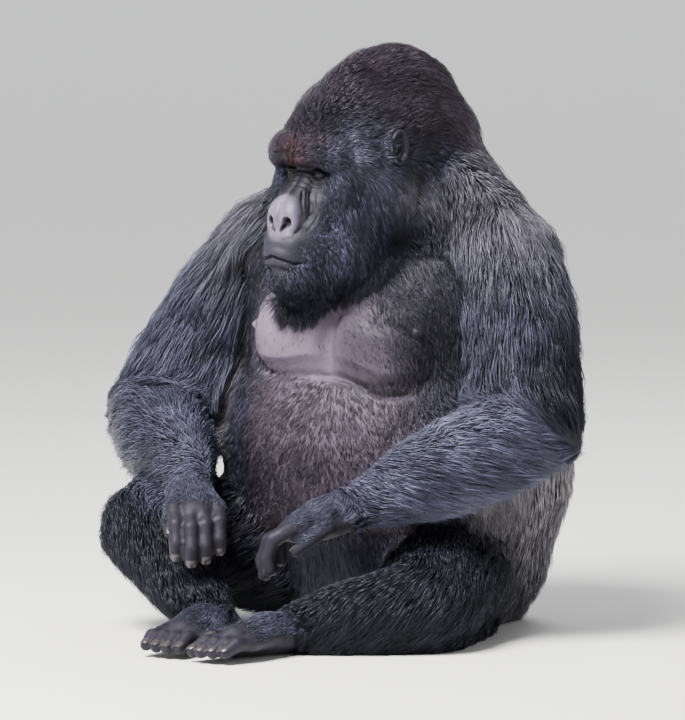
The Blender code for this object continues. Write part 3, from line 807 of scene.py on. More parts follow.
    def limbs(self, side):
        """Sets the coat of one side's arm and leg."""
        for stem, start, end, depth, length, hang in LIMB_COATS:
            run, along = run_between(self.points, start[side], end[side])
            axis = run / np.linalg.norm(run)
            outward = np.array([axis[1], -axis[0], 0.0])
            outward *= np.sign(outward[0]) * SIDES[side]
            tone = np.tile(self.colours["arms"], (self.count, 1))
            turning = np.zeros(self.count)
            full = np.ones(self.count)
            if stem in ("thigh_", "shin_"):
                tone = tone * 0.22
                full = 1.0 - 0.45 * step_up(along, 0.60, 1.0) * (stem == "shin_")
            if stem == "forearm_":
                # painted light: the forearms' hair is lightened where the light falls on them, the left more
                # than the right
                tone = tone * (1.35 if side == "right" else 1.85)
                turning = step_up(along, 0.42, -0.05)
                full = 1.0 - 0.50 * step_up(along, 0.55, 0.0)
            if stem == "hand_":
                turning = step_up(along, 0.60, -0.10)
            if stem == "upper_arm_":
                # the shoulders' grey hair, made stronger on the tops as painted light
                tone = blended(tone, self.colours["grizzle"], 0.7 * step_up(self.places[:, 2], 0.66, 0.84))
                # painted shade: the outer back of the left upper arm is darkened
                outer = step_up(np.abs(self.places[:, 0]), 0.33, 0.43)
                tone = tone * (1.0 - 0.86 * outer * (side == "left"))[:, None]
            self.put(self.names == stem + side, depth, length * full, 1.0,
                     axis + hang * DOWN + 1.3 * turning[:, None] * outward, tone)

    def hands_and_feet(self, side):
        """Ends one side's coat at the knuckles and the toes, on the upper side alone."""
        topside = step_up(self.normals[:, 2], -0.15, 0.30)
        for stem, start, end, reach in (("hand_", WRIST, KNUCKLES, 1.0), ("foot_", ANKLE, TOES, 0.62)):
            mask = self.names == stem + side
            _, along = run_between(self.points, start[side], end[side])
            amount = step_up(along, 1.15 * reach, 0.55 * reach) * topside
            self.cover[mask] = amount[mask]
            self.depth[mask] = (0.004 * step_up(along, 0.5, 0.0) * amount)[mask]
            self.length[mask] = (0.006 + 0.016 * amount)[mask]


def coat_plan(points, normals, region):
    """Depth, length, thickness, lie and colour of the whole coat. Nothing grows under the seat."""
    plan = CoatPlan(points, normals, region)
    plan.head_and_ears()
    plan.neck_and_trunk()
    for side in SIDES:
        plan.limbs(side)
        plan.hands_and_feet(side)
    clear = step_up(points[:, 2], 0.012, 0.022)
    return plan.depth * clear, plan.length, plan.cover * clear, plan.lie, plan.colour


# ---------------------------------------------------------------- the skin
# How much each frame node swells so that neighbours fuse, how far off the floor skin and hair stay,
# and how far one round of drawing may move a place.
FLESH_SWELL = 0.0012
SKIN_LEAST_HEIGHT = 0.0006
HAIR_LEAST_HEIGHT = 0.0012
FURTHEST_DRAW = 0.006


def fused_flesh(cell):
    """The frame's flesh and eyes, closed into one skin of even small faces."""
    bm = bmesh.new()
    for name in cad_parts:
        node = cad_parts[name].data
        part = bmesh.new()
        part.from_mesh(node)
        bmesh.ops.remove_doubles(part, verts=part.verts, dist=1e-5)
        part.normal_update()
        for vertex in part.verts:
            vertex.co += FLESH_SWELL * vertex.normal
        mesh = bpy.data.meshes.new("swollen")
        part.to_mesh(mesh)
        part.free()
        bm.from_mesh(mesh)
        bpy.data.meshes.remove(mesh)
    mesh = bpy.data.meshes.new("skin")
    bm.to_mesh(mesh)
    bm.free()
    obj = bpy.data.objects.new("rough_skin", mesh)
    bpy.context.scene.collection.objects.link(obj)
    remesh = obj.modifiers.new("fuse", "REMESH")
    remesh.mode = "VOXEL"
    remesh.voxel_size = cell
    graph = bpy.context.evaluated_depsgraph_get()
    fused = bpy.data.meshes.new_from_object(obj.evaluated_get(graph))
    bpy.data.objects.remove(obj)
    keep_largest(fused)
    return fused


def keep_largest(mesh):
    """Deletes every closed scrap but the biggest."""
    edges = mesh_edges(mesh)
    label = np.arange(len(mesh.vertices))
    while True:
        low = np.minimum(label[edges[:, 0]], label[edges[:, 1]])
        before = label.copy()
        np.minimum.at(label, edges[:, 0], low)
        np.minimum.at(label, edges[:, 1], low)
        label = label[label]
        if np.array_equal(before, label):
            break
    names, counts = np.unique(label, return_counts=True)
    scraps = np.nonzero(label != names[counts.argmax()])[0]
    if len(scraps) == 0:
        return
    bm = bmesh.new()
    bm.from_mesh(mesh)
    bm.verts.ensure_lookup_table()
    bmesh.ops.delete(bm, geom=[bm.verts[i] for i in scraps.tolist()], context="VERTS")
    bm.to_mesh(mesh)
    bm.free()


def refine(mesh, wanted):
    """Halves the faces whose every corner is wanted."""
    bm = bmesh.new()
    bm.from_mesh(mesh)
    bm.verts.ensure_lookup_table()
    flags = wanted.tolist()
    faces = [f for f in bm.faces if all(flags[v.index] for v in f.verts)]
    edges = list({e for f in faces for e in f.edges})
    bmesh.ops.subdivide_edges(bm, edges=edges, cuts=1, use_grid_fill=True)
    bm.to_mesh(mesh)
    bm.free()


def drawn_to(places, normals, distance, weight, rounds):
    """Places moved onto the surface where a distance is nought: sunk ones out along their normals,
    and proud ones in by the steepest way."""
    for _ in range(rounds):
        gap = distance(places)
        slope = slope_of(distance, places)
        size = np.maximum(rows_dot(slope, slope), 0.25)
        way = np.where(gap[:, None] > 0.0, slope / size, normals)
        places = places - (weight * np.clip(gap, -FURTHEST_DRAW, FURTHEST_DRAW))[:, None] * way
    return places


def groove(places, path, width, depth):
    """How far in a groove lies at each place: a furrow along a path that wanders and fades at its ends."""
    wander = np.stack([lattice_noise(places, 130.0, seed) for seed in (31, 32, 33)], axis=1)
    gap = bar_distance(places + 0.0009 * wander, [(*p, 0.0) for p in path])
    ends = np.minimum(np.linalg.norm(places - path[0], axis=1), np.linalg.norm(places - path[-1], axis=1))
    fade = np.where(abs(path[0][1]) < 0.001, 1.0, 0.25 + 0.75 * step_up(ends, 0.0, 0.010))
    return depth * fade * np.exp(-(gap / width) ** 2)


# Furrows of the face, as a path with how wide and how deep each is.
FACE_FURROWS = (
    # round the outer side of the nose wing
    (((0.160, 0.026, -0.084), (0.168, 0.031, -0.100), (0.172, 0.0370, -0.118), (0.173, 0.0385, -0.138),
      (0.178, 0.0365, -0.156), (0.186, 0.0325, -0.169)), 0.0024, 0.0046),
    # between the nose and the upper lip
    (((0.200, 0.000, -0.174), (0.197, 0.016, -0.176), (0.190, 0.030, -0.174)), 0.0045, 0.0014),
    # upright folds between nose and cheek
    (((0.150, 0.027, -0.080), (0.160, 0.036, -0.094), (0.166, 0.0425, -0.112), (0.168, 0.0445, -0.134)),
     0.0015, 0.0013),
    (((0.144, 0.034, -0.077), (0.154, 0.0405, -0.089), (0.160, 0.0485, -0.106), (0.162, 0.0500, -0.120)),
     0.0015, 0.0014),
    (((0.138, 0.040, -0.084), (0.148, 0.046, -0.096), (0.154, 0.0545, -0.116)), 0.0015, 0.0011),
    # slanting folds from the cheek down to the nose wing
    (((0.158, 0.052, -0.118), (0.168, 0.046, -0.136), (0.176, 0.0405, -0.152)), 0.0017, 0.0019),
    (((0.150, 0.060, -0.124), (0.162, 0.054, -0.144), (0.170, 0.047, -0.162)), 0.0018, 0.0015),
    (((0.144, 0.068, -0.132), (0.154, 0.062, -0.152), (0.162, 0.055, -0.170)), 0.0018, 0.0011),
    # bags under the eye
    (((0.136, 0.018, -0.064), (0.135, 0.030, -0.0715), (0.127, 0.046, -0.0725), (0.114, 0.060, -0.066)),
     0.0017, 0.0017),
    (((0.140, 0.024, -0.074), (0.134, 0.036, -0.080), (0.124, 0.052, -0.081), (0.112, 0.064, -0.075)),
     0.0017, 0.0013),
    (((0.138, 0.044, -0.088), (0.126, 0.060, -0.089), (0.114, 0.070, -0.083)), 0.0018, 0.0014),
    # wrinkles across the bridge and from the inner corners of the eyes
    (((0.138, 0.000, -0.044), (0.136, 0.012, -0.046), (0.130, 0.022, -0.052)), 0.0017, 0.0017),
    (((0.142, 0.000, -0.053), (0.140, 0.012, -0.056), (0.134, 0.021, -0.062)), 0.0017, 0.0015),
    (((0.148, 0.000, -0.063), (0.146, 0.012, -0.067), (0.140, 0.023, -0.073)), 0.0017, 0.0015),
    (((0.156, 0.003, -0.073), (0.152, 0.014, -0.079), (0.146, 0.024, -0.086)), 0.0017, 0.0012),
    (((0.178, 0.002, -0.094), (0.177, 0.010, -0.101), (0.174, 0.015, -0.110)), 0.0014, 0.0014),
    # midline of the nose
    (((0.190, 0.000, -0.102), (0.200, 0.000, -0.118), (0.206, 0.000, -0.138)), 0.0028, 0.0022),
    # under the lower lip
    (((0.208, 0.000, -0.2285), (0.200, 0.022, -0.2320), (0.182, 0.042, -0.2330)), 0.0040, 0.0024),
    # upright furrows between the brows
    (((0.170, 0.006, -0.026), (0.172, 0.008, -0.008)), 0.0022, 0.0022),
)
FURROW_LINES = [(laid_on(path, skull_distance)[0], width, depth) for path, width, depth in FACE_FURROWS]
MOUTH_WIDTH = 0.0021
MOUTH_DEPTH = 0.0085


def shape_face(mesh):
    """Draws the face and the ears onto their own masses."""
    places = in_head(mesh_arrays(mesh)[0])
    normals = vertex_normals(mesh) @ HEAD_AXES
    edges = mesh_edges(mesh)
    weight = face_hold(places)
    held = weight > 0.0
    broad = unit(relaxed(normals, edges, 12))
    places[held] = drawn_to(places[held], broad[held], head_distance, weight[held], 7)
    weight = ear_hold(places)
    held = weight > 0.0
    places[held] = drawn_to(places[held], normals[held], ear_distance, weight[held], 6)
    set_places(mesh, from_head(places))


def face_hold(places):
    """How firmly the face's own masses hold the skin: 1 on the face, fading into the coat."""
    ahead, left, above = places.T
    half = np.interp(above, (-0.262, -0.215, -0.150, -0.085, -0.010), (0.055, 0.075, 0.082, 0.080, 0.076))
    return (step_up(half - np.abs(left), -0.020, 0.004) * step_up(above, 0.024, 0.000)
            * step_up(above, -0.285, -0.262) * step_up(ahead, 0.060, 0.085))


def ear_hold(places):
    """1 on the ears, fading where they grow from the side of the head."""
    m = folded(places)
    outline = ((m[:, 0] - EAR_AT[0]) / 0.030) ** 2 + ((m[:, 2] - EAR_AT[2]) / 0.046) ** 2
    root = np.median(m[(outline > 1.0) & (outline < 1.5) & (m[:, 1] > 0.06), 1])
    held = step_up(m[:, 1], root + 0.0015, root + 0.0065) * step_up(outline, 1.0, 0.75)
    close = held > 0.0
    held[close] *= step_up(ear_distance(m[close]), 0.0075, 0.0030)
    return held


def sink_features(mesh):
    """Lids, nostrils, mouth and furrows, as inward moves of a fine mesh."""
    points, _ = mesh_arrays(mesh)
    normals = vertex_normals(mesh) @ HEAD_AXES
    places = in_head(points)
    m = folded(places)
    side = np.sign(places[:, 1])
    face = (m[:, 0] > 0.09) & (m[:, 2] > -0.28) & (m[:, 2] < 0.02)
    sunk = np.zeros(len(m))
    for path, width, depth in FURROW_LINES:
        sunk[face] += groove(m[face], path, width, depth)
    corner = 1.0 - 0.70 * step_up(m[face, 1], 0.040, 0.066)
    sunk[face] += corner * groove(m[face], MOUTH_LINE, MOUTH_WIDTH, MOUTH_DEPTH)
    places[face] -= sunk[face, None] * normals[face]
    # nostrils: round mouths with a slit that runs in and down
    m[:, 0] = places[:, 0]
    hole = np.sqrt(((m[:, 1] - 0.0215) / 0.0100) ** 2 + ((m[:, 2] + 0.1395) / 0.0105) ** 2)
    flat = m * np.array([0.0, 1.0, 1.0])
    slit = bar_distance(flat, ((0.0, 0.0200, -0.1435, 0.0), (0.0, 0.0085, -0.1585, 0.0)))
    inside = np.maximum(step_up(hole, 1.0, 0.45), 0.55 * step_up(slit, 0.0042, 0.0012))
    inside *= step_up(m[:, 0], 0.160, 0.172)
    places[:, 0] -= 0.020 * inside
    places[:, 2] += 0.008 * inside
    # lids: what looks out through the slit sinks behind the eyeball
    eye = np.array(EYE_AT)
    ray = m - eye
    reach = np.linalg.norm(ray, axis=1)
    near_eye = (reach < EYE_BALL + 0.006) & (ray[:, 0] > 0.0)
    across = ray[:, 1] / LID_HALF_WIDTH
    lift = ray[:, 2] + 0.0010 * across
    arch = np.sqrt(np.clip(1.0 - across ** 2, 0.0, 1.0))
    within = np.minimum(LID_RISE * arch - lift, lift + LID_FALL * arch)
    opening = step_up(within, -0.0004, 0.0006) * near_eye
    target = eye + ray / np.maximum(reach, 1e-9)[:, None] * (EYE_BALL - 0.0030)
    margin = np.exp(-((within + 0.0012) / 0.0010) ** 2) * near_eye * 0.0006
    m_new = m + (ray / np.maximum(reach, 1e-9)[:, None]) * margin[:, None]
    m_new += opening[:, None] * (target - m_new)
    moved = near_eye
    places[moved, 0] = m_new[moved, 0]
    places[moved, 1] = m_new[moved, 1] * side[moved]
    places[moved, 2] = m_new[moved, 2]
    set_places(mesh, from_head(places))


def pec_fold(right):
    """Height of the fold under each breast muscle."""
    out = np.abs(right)
    sag = np.where(right > 0.0, 0.034, 0.008)
    return 0.505 - sag * np.clip(out / 0.11, 0.0, 1.0) ** 1.5 + 0.10 * np.clip(out - 0.12, 0.0, 1.0)


def shape_breast(mesh):
    """Swells the breast muscles and presses in the furrow between them and the folds below."""
    points, _ = mesh_arrays(mesh)
    normals = vertex_normals(mesh)
    right, back, above = in_trunk(points).T
    facing = step_up(back, -0.09, -0.14) * step_up(above, 0.36, 0.42) * step_up(above, 0.74, 0.66)
    fold = pec_fold(right)
    out = np.abs(right)
    high = (above - fold - 0.048) / np.where(right > 0.0, 0.085, 0.100)
    swell = np.clip(1.0 - ((out - 0.088) / 0.105) ** 2 - high ** 2, 0.0, 1.0) ** 0.75
    swell *= step_up(above, fold - 0.004, fold + 0.040)
    raised = np.where(right > 0.0, 0.025, 0.030) * swell
    valley = np.abs(right + 0.012 - 0.05 * (above - 0.52))
    between = step_up(above, 0.48, 0.51) * step_up(above, 0.72, 0.62)
    raised -= 0.015 * np.exp(-(valley / 0.018) ** 2) * between
    raised -= 0.011 * np.exp(-((above - fold + 0.003) / 0.0070) ** 2) * step_up(out, 0.185, 0.150)
    for drop, depth in ((0.014, 0.0030), (0.024, 0.0028), (0.036, 0.0024), (0.052, 0.0018)):
        wander = 0.006 * np.sin(right * 34.0 + drop * 90.0)
        crease = np.exp(-((above - fold + drop + wander) / 0.0045) ** 2) * step_up(out, 0.15, 0.09)
        raised -= depth * crease
    nipple = np.sqrt((out - 0.172) ** 2 + (above - 0.590) ** 2)
    raised += 0.007 * step_up(nipple, 0.0085, 0.0030)
    set_places(mesh, points + (facing * raised)[:, None] * normals)


def shape_ends(mesh):
    """Draws hands and feet onto their bars, with the digits apart."""
    points, _ = mesh_arrays(mesh)
    edges = mesh_edges(mesh)
    normals = relaxed(vertex_normals(mesh), edges, 3)
    for side in SIDES:
        for start, end, (bars, digits), begin in (
                (WRIST, KNUCKLES, hand_bars(side), -0.10), (ANKLE, TOES, foot_bars(side), -0.05)):
            _, along = run_between(points, start[side], end[side])

            def distance(p):
                return limb_end_distance(bars, digits, p)

            gap = distance(points)
            near = (gap < 0.016) & (along > begin)
            weight = step_up(along[near], begin, begin + 0.22)
            for _ in range(3):
                points[near] = drawn_to(points[near], normals[near], distance, weight, 2)
                points = relaxed(points, edges, 2, 0.5, 1.0 - near)
            points[near] = drawn_to(points[near], normals[near], distance, weight, 2)
    points[:, 2] = np.maximum(points[:, 2], SKIN_LEAST_HEIGHT)
    set_places(mesh, points)


def ends_mask(points):
    """True on hands and feet."""
    near = np.zeros(len(points), bool)
    for side in SIDES:
        for start, end in ((WRIST, KNUCKLES), (ANKLE, TOES)):
            axis, along = run_between(points, start[side], end[side])
            off = np.linalg.norm(points - np.array(start[side]) - along[:, None] * axis, axis=1)
            near |= (along > -0.10) & (along < 2.2) & (off < 0.09)
    return near


def nose_share(m):
    """1 on the bare pad of the nose, in the head's frame with both sides folded together."""
    return step_up(ball_distance(m, (0.184, 0.0, -0.136), (0.048, 0.043, 0.048)), 0.005, -0.010)


def skin_colour(points, region, plan_colour, cover):
    """Bare skin where nothing grows, with painted shade and a painted highlight on the face, and the coat's
    own markings darkened under the hair as painted shade.
    """
    settings = bpy.context.scene.silverback_skin
    face = np.array(settings.face)
    breast = np.array(settings.breast)
    names = np.array(FLESH)[region]
    bare = np.tile(face, (len(points), 1))
    trunk_parts = np.isin(names, ("chest", "belly"))
    bare[trunk_parts] = breast
    m = folded(in_head(points))
    # painted light and shade: a painted highlight lightens the nose, and painted shade darkens the face
    # beside and above the nose, the lids, nostrils, mouth line, ears and the depths of the furrows
    near = (m[:, 0] > 0.08) & (m[:, 2] > -0.28) & (m[:, 2] < 0.02)
    # painted shade on the bare skin beside and above the nose
    aside = np.maximum(step_up(m[near, 1], 0.028, 0.050), step_up(m[near, 2], -0.115, -0.085))
    bare[near] *= (1.0 - 0.82 * aside)[:, None]
    # painted highlight: the nose pad is lightened
    nose = nose_share(m)
    bare += nose[:, None] * (np.array(settings.nose) - bare)
    # painted shade round the eyes, under the brow
    lids = step_up(np.linalg.norm(m - np.array(EYE_AT), axis=1), 0.034, 0.014)
    # painted shade in the furrows, along the mouth, over the ears and in their hollows, and in the nostrils
    shade = np.zeros(len(m))
    for path, width, depth in FURROW_LINES:
        shade[near] += groove(m[near], path, 1.1 * width, 150.0 * depth)
    shade[near] += groove(m[near], MOUTH_LINE, 1.3 * MOUTH_WIDTH, 2.2)
    shade += 1.10 * (ball_distance(m, EAR_AT, EAR_REACH) < 0.0)
    shade += 0.9 * step_up(ball_distance(m, *EAR_HOLLOW), 0.002, -0.002)
    # the hands' and feet's own darker skin, kept with the painted shade
    shade += 0.4 * np.isin(np.char.partition(names, "_")[:, 0], ("hand", "foot"))
    flat = m * np.array([0.0, 1.0, 1.0])
    nostril = bar_distance(flat, ((0.0, 0.0215, -0.1395, 0.010), (0.0, 0.009, -0.1585, 0.003)))
    shade += 1.6 * step_up(nostril, 0.001, -0.003) * (m[:, 0] > 0.14)
    bare *= (1.0 - 0.78 * lids)[:, None] * np.exp(-1.2 * shade)[:, None]
    blotch = 1.0 + 0.14 * lattice_noise(points, 60.0, 3) + 0.08 * lattice_noise(points, 170.0, 4)
    # painted shade: the skin under the hair is a dark share of the hair's colour, save on the front of the
    # belly
    under = 0.10 * plan_colour
    trunk = in_trunk(points)
    front = step_up(trunk[:, 1], -0.04, -0.12) * trunk_parts * step_up(np.abs(trunk[:, 0]), 0.28, 0.18)
    strip = (step_up(trunk[:, 2], 0.42, 0.48) * step_up(trunk[:, 2], 0.53, 0.50)
             * step_up(np.abs(trunk[:, 0]), 0.20, 0.10))
    thin = 0.29 + 0.08 * strip
    # painted shade: the breast's left side is darkened above its fold
    darker = step_up(trunk[:, 0], -0.020, 0.040) * step_up(trunk[:, 2], 0.44, 0.50)
    breast = breast * (1.0 - 0.66 * darker)[:, None]
    bare[trunk_parts] = breast[trunk_parts]
    under += front[:, None] * (thin[:, None] * breast - under)
    colour = under + (1.0 - np.clip(cover, 0.0, 1.0))[:, None] ** 0.6 * (bare - under)
    colour *= blotch[:, None]
    return opaque(colour)


def skin_roughness(points):
    """How rough the skin is at each vertex: the nose shines."""
    settings = bpy.context.scene.silverback_skin
    m = folded(in_head(points))
    nose = nose_share(m)
    rough = np.full(len(points), settings.roughness) + 0.05 * lattice_noise(points, 90.0, 5)
    return rough + nose * (settings.nose_roughness - rough)


def skin_material():
    """Leathery skin with fine wrinkles and pores."""
    nodes = Nodes("gorilla_skin")
    shader = nodes.shader
    place = nodes.add("ShaderNodeTexCoord")
    nodes.link(painted(nodes, "marking"), shader.inputs["Base Color"])
    gloss = nodes.add("ShaderNodeAttribute", attribute_name="roughness")
    nodes.link(gloss.outputs["Fac"], shader.inputs["Roughness"])
    shader.inputs["Specular IOR Level"].default_value = 0.25
    shader.inputs["Specular Tint"].default_value = (0.86, 0.86, 1.0, 1.0)
    cracks = nodes.add("ShaderNodeTexVoronoi", feature="DISTANCE_TO_EDGE", Scale=620.0)
    grain = nodes.add("ShaderNodeTexNoise", Scale=280.0, Detail=5.0)
    stretch = nodes.add("ShaderNodeMapping")
    stretch.inputs["Scale"].default_value = (1.0, 1.0, 0.45)
    nodes.link(place.outputs["Object"], stretch.inputs["Vector"])
    nodes.link(stretch.outputs["Vector"], cracks.inputs["Vector"])
    nodes.link(place.outputs["Object"], grain.inputs["Vector"])
    edge = nodes.add("ShaderNodeMapRange")
    edge.inputs["From Max"].default_value = 0.16
    nodes.link(cracks.outputs["Distance"], edge.inputs["Value"])
    fine = nodes.add("ShaderNodeBump", Strength=0.40, Distance=0.0012)
    nodes.link(grain.outputs["Fac"], fine.inputs["Height"])
    coarse = nodes.add("ShaderNodeBump", Strength=0.22, Distance=0.0003)
    nodes.link(edge.outputs["Result"], coarse.inputs["Height"])
    nodes.link(fine.outputs["Normal"], coarse.inputs["Normal"])
    nodes.link(coarse.outputs["Normal"], shader.inputs["Normal"])
    return nodes.material


def sunk_by_coat(mesh):
    """Evens the fused flesh, draws the head onto its masses, and sinks the skin by the coat's depth."""
    edges = mesh_edges(mesh)
    points, _ = mesh_arrays(mesh)
    region = region_of(points)
    names = np.array(FLESH)[region]
    points = relaxed(points, edges, 10)
    fine = np.isin(names, [name for name in FLESH if name.split("_")[0] in FINE_PARTS])
    fine = step_up(relaxed(fine.astype(float), edges, 12), 0.60, 0.95)
    points = evened(points, edges, 30, fine)
    set_places(mesh, points)
    inner = step_up(relaxed((names == "head").astype(float), edges, 14), 0.80, 0.99)
    held = inner > 0.0
    broad = unit(relaxed(vertex_normals(mesh), edges, 6))
    points[held] = from_head(drawn_to(in_head(points[held]), broad[held] @ HEAD_AXES, skull_distance,
                                      inner[held], 4))
    set_places(mesh, points)
    normals = vertex_normals(mesh)
    depth, *_ = coat_plan(points, normals, region)
    points = points - relaxed(depth, edges, 8)[:, None] * relaxed(normals, edges, 4)
    points[:, 2] = np.maximum(points[:, 2], SKIN_LEAST_HEIGHT)
    set_places(mesh, points)
    return points


def shape_bare_parts(mesh, points):
    """Refines what shows bare in three rounds, each time closer in, and shapes it after each."""
    across, deep, above = in_trunk(points).T
    breast = (deep < -0.08) & (above > 0.42) & (above < 0.72) & (np.abs(across) < 0.2)
    refine(mesh, face_zone(points, 0.055) | ear_zone(points) | ends_mask(points) | breast)
    shape_ends(mesh)
    shape_face(mesh)
    shape_breast(mesh)
    points, _ = mesh_arrays(mesh)
    refine(mesh, face_zone(points, 0.075) | ear_zone(points))
    shape_face(mesh)
    points, _ = mesh_arrays(mesh)
    refine(mesh, detail_zone(points))
    shape_face(mesh)
    smooth_zone(mesh)
    sink_features(mesh)
    smooth_zone(mesh)


def paint_skin(mesh):
    """Keeps the lie, length, thickness and colours of coat and skin on the mesh."""
    points, _ = mesh_arrays(mesh)
    normals = vertex_normals(mesh)
    region = region_of(points)
    _, length, cover, lie, colour = coat_plan(points, normals, region)
    edges = mesh_edges(mesh)
    lie = relaxed(unit(lie), edges, 50)
    length = relaxed(length, edges, 10)
    colour = relaxed(colour, edges, 16)
    store(mesh, "lie", unit(lie - rows_dot(lie, normals) * normals))
    store(mesh, "length", length)
    store(mesh, "cover", np.clip(relaxed(cover, edges, 3), 0.0, 1.0))
    store(mesh, "region", region.astype(float))
    store(mesh, "tone", np.concatenate([colour, np.ones((len(colour), 1))], axis=1))
    store(mesh, "marking", skin_colour(points, region, colour, cover))
    store(mesh, "roughness", skin_roughness(points))


class SILVERBACK_OT_skin(bpy.types.Operator):
    """Fuse the flesh into one skin, sink it by the coat's depth and shape what shows bare"""
    bl_idname = "silverback.skin"
    bl_label = "Skin"

    def execute(self, context):
        mesh = fused_flesh(context.scene.silverback_skin.cell)
        shape_bare_parts(mesh, sunk_by_coat(mesh))
        paint_skin(mesh)
        mesh.shade_smooth()
        mesh.materials.append(skin_material())
        new_piece("skin", mesh, "bare_skin", *FLESH)
        return {"FINISHED"}


def face_zone(points, ahead):
    """True on the face, from so far ahead of the ears."""
    places = in_head(points)
    return ((places[:, 0] > ahead) & (np.abs(places[:, 1]) < 0.105) & (places[:, 2] > -0.300)
            & (places[:, 2] < 0.035))


def ear_zone(points):
    """True on the ears and close round them."""
    return ball_distance(folded(in_head(points)), EAR_AT, EAR_REACH) < 0.004


def detail_zone(points):
    """True round eyes, nose, mouth and in the ears."""
    m = folded(in_head(points))
    eyes = np.linalg.norm(m - np.array(EYE_AT), axis=1) < 0.030
    nose = ball_distance(m, (0.172, 0.0, -0.122), (0.055, 0.066, 0.056)) < 0.0
    mouth = bar_distance(m, [(*p, 0.010) for p in MOUTH_LINE]) < 0.0
    return eyes | nose | mouth | ear_zone(points)


def smooth_zone(mesh):
    """Evens out the fine faces without moving the rest, or the lids."""
    points, _ = mesh_arrays(mesh)
    m = folded(in_head(points))
    off_eye = np.linalg.norm(m - np.array(EYE_AT), axis=1) > 0.018
    loose = (face_zone(points, 0.060) | ear_zone(points)) & off_eye
    set_places(mesh, relaxed(points, mesh_edges(mesh), 2, 0.5, 1.0 - loose))


# ---------------------------------------------------------------- eyes
class SILVERBACK_OT_eyes(bpy.types.Operator):
    """Make both eyeballs with a bulging front and a ringed iris"""
    bl_idname = "silverback.eyes"
    bl_label = "Eyes"

    def execute(self, context):
        settings = context.scene.silverback_eyes
        material = eye_material()
        for side, centre in EYE_CENTRES.items():
            bm = bmesh.new()
            bmesh.ops.create_uvsphere(bm, u_segments=64, v_segments=64, radius=EYE_BALL - 0.0004)
            mesh = mesh_from(bm, "eyeball_" + side)
            gaze = (HEAD_FORWARD * 0.97 + HEAD_LEFT * 0.06 * SIDES[side] - UP * 0.10).normalized()
            turn = UP.rotation_difference(gaze).to_matrix()
            places, _ = mesh_arrays(mesh)
            off = np.hypot(places[:, 0], places[:, 1])
            front = places[:, 2] > 0.0
            bulge = 0.0011 * step_up(off, settings.iris_radius + 0.0012, 0.0) * front
            places += unit(places) * bulge[:, None]
            set_places(mesh, places @ np.array(turn).T + np.array(centre))
            store(mesh, "ring", np.where(front, off, 1.0))
            store(mesh, "stain", eye_colours(places, off, front))
            mesh.materials.append(material)
            new_piece("eyeball_" + side, mesh, "eye", "eye_" + side)
        return {"FINISHED"}


def eye_colours(places, off, front):
    """Pupil, streaked iris with a dark edge, and a brown white."""
    settings = bpy.context.scene.silverback_eyes
    angle = np.arctan2(places[:, 1], places[:, 0])
    streak = 1.0 + 0.25 * np.sin(angle * 31.0) * np.sin(angle * 13.0 + 1.0)
    iris = np.array(settings.iris) * streak[:, None]
    edge = step_up(off, settings.iris_radius - 0.0016, settings.iris_radius)
    iris = iris * (1.0 - 0.85 * edge)[:, None]
    pupil = step_up(off, settings.pupil_radius + 0.0003, settings.pupil_radius - 0.0003)
    iris = iris * (1.0 - 0.98 * pupil)[:, None]
    white = step_up(off, settings.iris_radius - 0.0002, settings.iris_radius + 0.0006)
    white = np.where(front, white, 1.0)
    colour = iris + white[:, None] * (np.array(settings.white) - iris)
    return opaque(colour)


def eye_material():
    """A dark eyeball with a wet shine."""
    nodes = Nodes("wet_eye")
    nodes.link(painted(nodes, "stain"), nodes.shader.inputs["Base Color"])
    nodes.shader.inputs["Roughness"].default_value = 0.14
    nodes.shader.inputs["IOR"].default_value = 1.36
    return nodes.material


# ---------------------------------------------------------------- nails
def nail_plate(bm, base, tip, back, radius, length):
    """A curved plate over the back of a digit's last length."""
    ahead = (tip - base).normalized()
    back = (back - back.dot(ahead) * ahead).normalized()
    across = ahead.cross(back)
    rows = 7
    columns = 9
    layers = []
    for lift in (-0.0008, 0.0007):
        grid = []
        for i in range(rows):
            along = i / (rows - 1)
            spread = math.radians(48.0) * (1.0 - 0.30 * max(0.0, along - 0.7) / 0.3)
            line = []
            for j in range(columns):
                angle = spread * (2.0 * j / (columns - 1) - 1.0)
                out = radius + lift + 0.0006 * along
                sink = 0.35 * radius * max(0.0, along - 0.25) ** 2
                centre = tip + ahead * (length * (along - 0.62) + 0.25 * radius)
                place = centre + (out - sink) * (math.cos(angle) * back + math.sin(angle) * across)
                line.append(bm.verts.new(place))
            grid.append(line)
        layers.append(grid)
    under, over = layers
    for i in range(rows - 1):
        for j in range(columns - 1):
            bm.faces.new((over[i][j], over[i][j + 1], over[i + 1][j + 1], over[i + 1][j]))
            bm.faces.new((under[i][j], under[i + 1][j], under[i + 1][j + 1], under[i][j + 1]))
    ring = [(0, j) for j in range(columns)] + [(i, columns - 1) for i in range(1, rows)]
    ring += [(rows - 1, j) for j in range(columns - 2, -1, -1)] + [(i, 0) for i in range(rows - 2, 0, -1)]
    for (i, j), (k, m) in zip(ring, ring[1:] + ring[:1]):
        bm.faces.new((over[i][j], under[i][j], under[k][m], over[k][m]))


